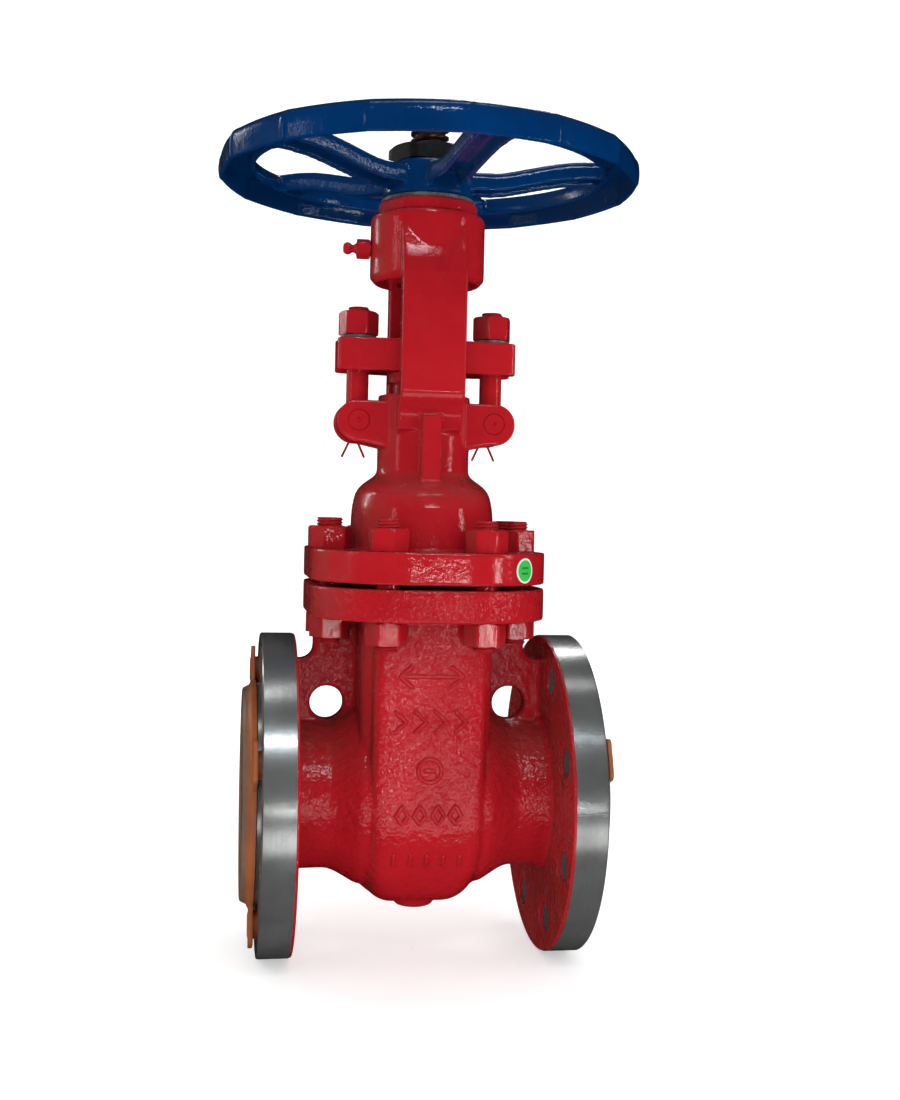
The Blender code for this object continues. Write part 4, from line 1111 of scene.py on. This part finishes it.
# ---------------------------------------------------------------- sticker
def sticker():
    """A thin disc wrapped on the bonnet flange's front right corner."""
    corner_x = JOINT_HALF_X - JOINT_CORNER
    corner_y = JOINT_CORNER - JOINT_HALF_Y
    radius = JOINT_CORNER + 0.25
    middle_x, middle_z = 51.5, 144.3
    start = math.asin((middle_x - corner_x) / radius)
    size = 7.4
    bm = bmesh.new()
    spots = {}

    def vert(u, v, lift):
        turn = start + u * size / radius
        out = radius + lift
        x = corner_x + out * math.sin(turn)
        y = corner_y - out * math.cos(turn)
        made = bm.verts.new((x, y, middle_z + v * size))
        spots[made] = (u, v)
        return made

    rings = [0.35, 0.7, 0.86, 1.0]
    sides = 48
    rims = []
    for lift in (0.1, -0.5):
        rows = [[vert(u, v, lift) for u, v in arc(0, 0, r, 0, 360, sides)[:-1]] for r in rings]
        rims.append(rows[-1])
        hub = vert(0, 0, lift)
        for i in range(sides):
            j = (i + 1) % sides
            bm.faces.new((hub, rows[0][i], rows[0][j]))
            for inner, outer in zip(rows, rows[1:]):
                bm.faces.new((inner[i], outer[i], outer[j], inner[j]))
    front, back = rims
    for i in range(sides):
        j = (i + 1) % sides
        bm.faces.new((front[i], back[i], back[j], front[j]))
    bmesh.ops.recalc_face_normals(bm, faces=bm.faces)
    bm.verts.index_update()
    order = [spots[v] for v in bm.verts]
    made = piece("round_sticker", bm, "sticker", "valve_body")
    attribute = made.data.attributes.new("spot", "FLOAT_VECTOR", "POINT")
    for item, (u, v) in zip(attribute.data, order):
        item.vector = (u, v, 0)


sticker()

# ---------------------------------------------------------------- CAD nodes that stay
KEPT = {
    "seat_ring_left": "trim", "seat_ring_right": "trim", "wedge": "trim", "backseat_bush": "trim",
    "bonnet_gasket": "graphite", "packing_ring_1": "graphite", "packing_ring_2": "graphite",
    "packing_ring_3": "graphite", "packing_ring_4": "graphite", "handwheel_key": "washer",
}
for node, look in KEPT.items():
    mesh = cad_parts[node].data
    mesh.materials.clear()
    mesh.materials.append(LOOKS[look])


# ---------------------------------------------------------------- stage
def backdrop():
    """A pale floor that turns up into a wall all round."""
    ground = -FLANGE_RADIUS - 0.2
    reach, bend = 2600, 1400
    outline = [(0, ground), (900, ground), *arc(reach, ground + bend, bend, -90, 0, 12)]
    outline.append((reach + bend, 4200))
    bm = bmesh.new()
    rows = [[bm.verts.new(p) for p in circle(max(r, 0.5), z, 96)] for r, z in outline]
    bm.faces.new(rows[0])
    for low, high in zip(rows, rows[1:]):
        for i in range(96):
            j = (i + 1) % 96
            bm.faces.new((low[i], low[j], high[j], high[i]))
    bmesh.ops.scale(bm, vec=(MM, MM, MM), verts=bm.verts)
    mesh = bpy.data.meshes.new("backdrop")
    bm.to_mesh(mesh)
    bm.free()
    mesh.shade_smooth()
    look, tree, shader = shader_of("backdrop_look", roughness=0.75)
    shader.inputs["Base Color"].default_value = (0.86, 0.86, 0.855, 1)
    shader.inputs["Emission Color"].default_value = (1, 1, 1, 1)
    shader.inputs["Emission Strength"].default_value = 0.42
    mesh.materials.append(look)
    made = bpy.data.objects.new("backdrop", mesh)
    made.visible_glossy = False
    bpy.context.scene.collection.objects.link(made)


def area_light(name, place_at, aim, size, energy, tall=None, colour=(1, 1, 1), matte=False):
    """A lamp aimed at a point; a matte one makes no highlights."""
    lamp = bpy.data.lights.new(name, "AREA")
    lamp.energy = energy
    lamp.color = colour
    lamp.shape = "RECTANGLE"
    lamp.size = size
    lamp.size_y = tall or size
    made = bpy.data.objects.new(name, lamp)
    made.location = place_at
    made.rotation_euler = (Vector(aim) - Vector(place_at)).to_track_quat("-Z", "Y").to_euler()
    made.visible_camera = False
    made.visible_glossy = not matte
    bpy.context.scene.collection.objects.link(made)


def lights():
    """Small lamps for highlights, matte ones to fill, and a dim world."""
    aim = (0, 0, 0.12)
    area_light("key", (0.1, -1.7, 1.75), aim, 0.9, 7.5, 0.14, (0.86, 0.93, 1))
    area_light("low_right", (0.38, -1.9, -0.05), aim, 0.12, 0.95, 0.08)
    area_light("low_left", (0.07, -1.9, -0.03), aim, 0.1, 0.65, 0.08)
    area_light("right_front", (1.35, -1.15, 0.05), aim, 0.15, 0.9)
    area_light("front_fill", (-0.3, -1.9, 0.2), aim, 1.2, 6.6, 0.8, matte=True)
    area_light("floor_glow", (0, -0.32, -0.097), (0, -0.1, 0), 0.55, 0.2, 0.08)
    area_light("right_strip", (1.75, -0.8, 0.6), aim, 0.16, 2.4, 0.9)
    area_light("left_strip", (-1.8, -0.5, 0.6), aim, 0.12, 0.8, 0.9)
    area_light("overhead", (0.1, -0.2, 2.3), aim, 1.2, 3.5, 0.3)
    area_light("back", (0.5, 1.5, 1.9), aim, 0.4, 5)
    area_light("back_strip", (-1.5, 1.3, 0.9), aim, 0.16, 3, 0.9)
    area_light("back_fill", (0.2, 1.9, 0.4), aim, 1.2, 7, 0.8, matte=True)
    world = bpy.data.worlds.new("studio")
    world.use_nodes = True
    world.node_tree.nodes["Background"].inputs["Color"].default_value = (1, 1, 1, 1)
    world.node_tree.nodes["Background"].inputs["Strength"].default_value = 0.35
    world.cycles_visibility.glossy = False
    bpy.context.scene.world = world


def camera():
    """A camera in front and a little to the left, level with the bonnet."""
    lens = bpy.data.cameras.new("camera")
    lens.sensor_fit = "AUTO"
    lens.sensor_width = 36
    lens.lens = 45.15
    lens.clip_start = 0.05
    lens.clip_end = 30
    made = bpy.data.objects.new("camera", lens)
    right = Vector((0.98645, -0.16240, 0.02307))
    ahead = Vector((0.16296, 0.98632, -0.02467))
    up = right.cross(ahead)
    turn = Matrix((right, up, -ahead)).transposed().to_4x4()
    made.matrix_world = Matrix.Translation((-0.1241, -0.8652, 0.1755)) @ turn
    bpy.context.scene.collection.objects.link(made)
    bpy.context.scene.camera = made


backdrop()
lights()
camera()
bpy.context.scene.view_settings.view_transform = "Standard"
